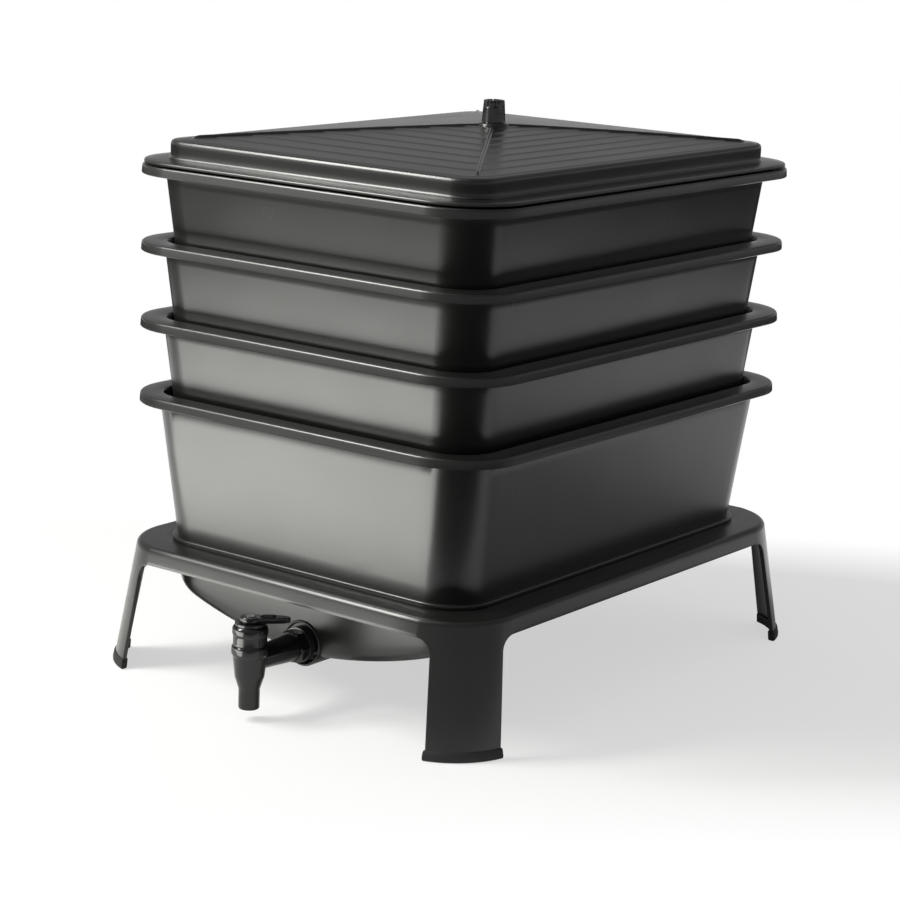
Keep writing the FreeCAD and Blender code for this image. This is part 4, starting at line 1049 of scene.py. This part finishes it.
# The table's edges from the middle of the stand, before it is turned by TABLE_TURN degrees.
TABLE_LEFT, TABLE_RIGHT, TABLE_FRONT, TABLE_BACK = 1.15, 1.5, 0.46, 0.9
TABLE_TURN = 37.4
# Soft boxes: name, place, aim, width, height, power and the direction its height leans to.
# The panels lie on the table and face up, as light that white paper throws back.
LAMP_WHITE = (1.0, 1.0, 0.95)
SOFT_BOXES = (
    ("key_box", (-0.88, -0.95, 1.31), (0, -0.2, 0.35), 0.36, 1.1, 32, (0, 0.79, 0.61)),
    ("near_panel", (-0.33, -0.58, 0.004), (-0.33, -0.58, 1), 0.62, 0.36, 4.7, (0, 1, 0)),
    ("far_panel", (-0.56, -0.86, 0.004), (-0.56, -0.86, 1), 0.64, 0.26, 3.5, (0, 1, 0)),
    ("front_box", (-1.25, -1.70, 0.54), (0, -0.1, 0.4), 0.7, 0.45, 2.2, (0, 0, 1)))


def lamp(name, kind, place, aim, power, upright=(0, 0, 1), **settings):
    """A lamp of a kind at a place, facing a point, its height turned towards upright.

    Its back is z = place - aim, its width x = upright x z and its height y = z x x.
    """
    data = bpy.data.lights.new(name, kind)
    data.energy = power
    for key, value in settings.items():
        setattr(data, key, value)
    item = linked(name, data)
    back = (Vector(place) - Vector(aim)).normalized()
    across = Vector(upright).cross(back).normalized()
    turn = Matrix((across, back.cross(across), back)).transposed()
    item.matrix_world = Matrix.Translation(place) @ turn.to_4x4()
    item.visible_camera = False


class WORMERY_OT_studio(bpy.types.Operator):
    """Adds the white table, soft lamps, white surroundings and the camera."""
    bl_idname = "wormery.studio"
    bl_label = "Studio"

    def execute(self, context):
        scene = context.scene
        self.add_floor()
        self.add_world(scene)
        lamp("soft_sun", "SUN", (-1.0, -0.9, 2.2), (0, 0, 0), 0.3, angle=math.radians(60))
        for name, place, aim, width, height, power, upright in SOFT_BOXES:
            lamp(name, "AREA", place, aim, power, upright, shape="RECTANGLE", size=width,
                 size_y=height, color=LAMP_WHITE)
        lens = bpy.data.cameras.new("camera")
        lens.lens, lens.sensor_width = LENS, SENSOR
        lens.clip_start, lens.clip_end = 0.05, 60
        scene.camera = linked("camera", lens)
        place = Matrix(CAMERA_AXES.T.tolist()).to_4x4()
        place.translation = CAMERA_PLACE + (0, TRAY.middle / 1000, 0)
        scene.camera.matrix_world = place
        scene.view_settings.view_transform = "Standard"
        return {"FINISHED"}

    def add_floor(self):
        """A table top at height 0 that runs across the picture, turned by TABLE_TURN."""
        across, back = np.meshgrid(np.linspace(-TABLE_LEFT, TABLE_RIGHT, 12),
                                   np.linspace(-TABLE_FRONT, TABLE_BACK, 8))
        turn = math.radians(TABLE_TURN)
        grid = np.stack([across * math.cos(turn) - back * math.sin(turn),
                         across * math.sin(turn) + back * math.cos(turn), 0 * across], -1)
        points, quads = patch(grid, across=False)
        mesh = bpy.data.meshes.new("floor")
        mesh.from_pydata(points.tolist(), [], quads.tolist())
        mesh.materials.append(finish("floor"))
        linked("floor", mesh)

    def add_world(self, scene):
        """White for the camera; for gloss and glass a white band that ends at the table."""
        scene.world = bpy.data.worlds.new("studio")
        scene.world.use_nodes = True
        tree = scene.world.node_tree
        tree.nodes.clear()
        seen = add_node(tree, "LightPath", {})
        way = add_node(tree, "TexCoord", {}).outputs["Generated"]
        height = add_node(tree, "SeparateXYZ", {"Vector": way}).outputs["Z"]
        below = add_node(tree, "MapRange", {"Value": height, "From Min": -0.03,
                                            "From Max": 0.0, "To Min": 0.04})
        above = add_node(tree, "MapRange", {"Value": height, "From Min": 0.03,
                                            "From Max": 0.12, "To Min": 1.0, "To Max": 0.25})
        band = add_node(tree, "Math", {"operation": "MULTIPLY", 0: below, 1: above})
        strength = add_node(tree, "Mix", {"data_type": "FLOAT", "Factor": sent_on(tree, seen),
                                          2: 0.3, 3: band})
        fill = add_node(tree, "Background", {"Color": (1, 1, 1, 1), "Strength": strength})
        white = add_node(tree, "Background", {"Color": (1, 1, 1, 1), "Strength": 1.0})
        seen_white = add_node(tree, "MixShader", {0: seen.outputs["Is Camera Ray"],
                                                  1: fill, 2: white})
        add_node(tree, "OutputWorld", {"Surface": seen_white})


OPERATORS = (WORMERY_OT_stand, WORMERY_OT_collector, WORMERY_OT_trays, WORMERY_OT_lid,
             WORMERY_OT_tap, WORMERY_OT_studio)


class WORMERY_PT_panel(bpy.types.Panel):
    """Lists the pieces and their sizes in the sidebar."""
    bl_idname = "WORMERY_PT_panel"
    bl_label = "Stacking Wormery"
    bl_space_type = "VIEW_3D"
    bl_region_type = "UI"
    bl_category = "Wormery"

    def draw(self, context):
        for name, group in GROUPS.items():
            box = self.layout.box()
            for key in group.__annotations__:
                box.prop(getattr(context.scene, name), key)
        for operator in OPERATORS:
            self.layout.operator(operator.bl_idname)


def register():
    for group in (*GROUPS.values(), *OPERATORS, WORMERY_PT_panel):
        bpy.utils.register_class(group)
    for name, group in GROUPS.items():
        setattr(bpy.types.Scene, name, bpy.props.PointerProperty(type=group))


def unregister():
    for name in GROUPS:
        delattr(bpy.types.Scene, name)
    for group in reversed((*GROUPS.values(), *OPERATORS, WORMERY_PT_panel)):
        bpy.utils.unregister_class(group)


def main():
    register()
    bpy.ops.wormery.stand()
    bpy.ops.wormery.collector()
    bpy.ops.wormery.trays()
    bpy.ops.wormery.lid()
    bpy.ops.wormery.tap()
    bpy.ops.wormery.studio()


if __name__ == "__main__":
    main()
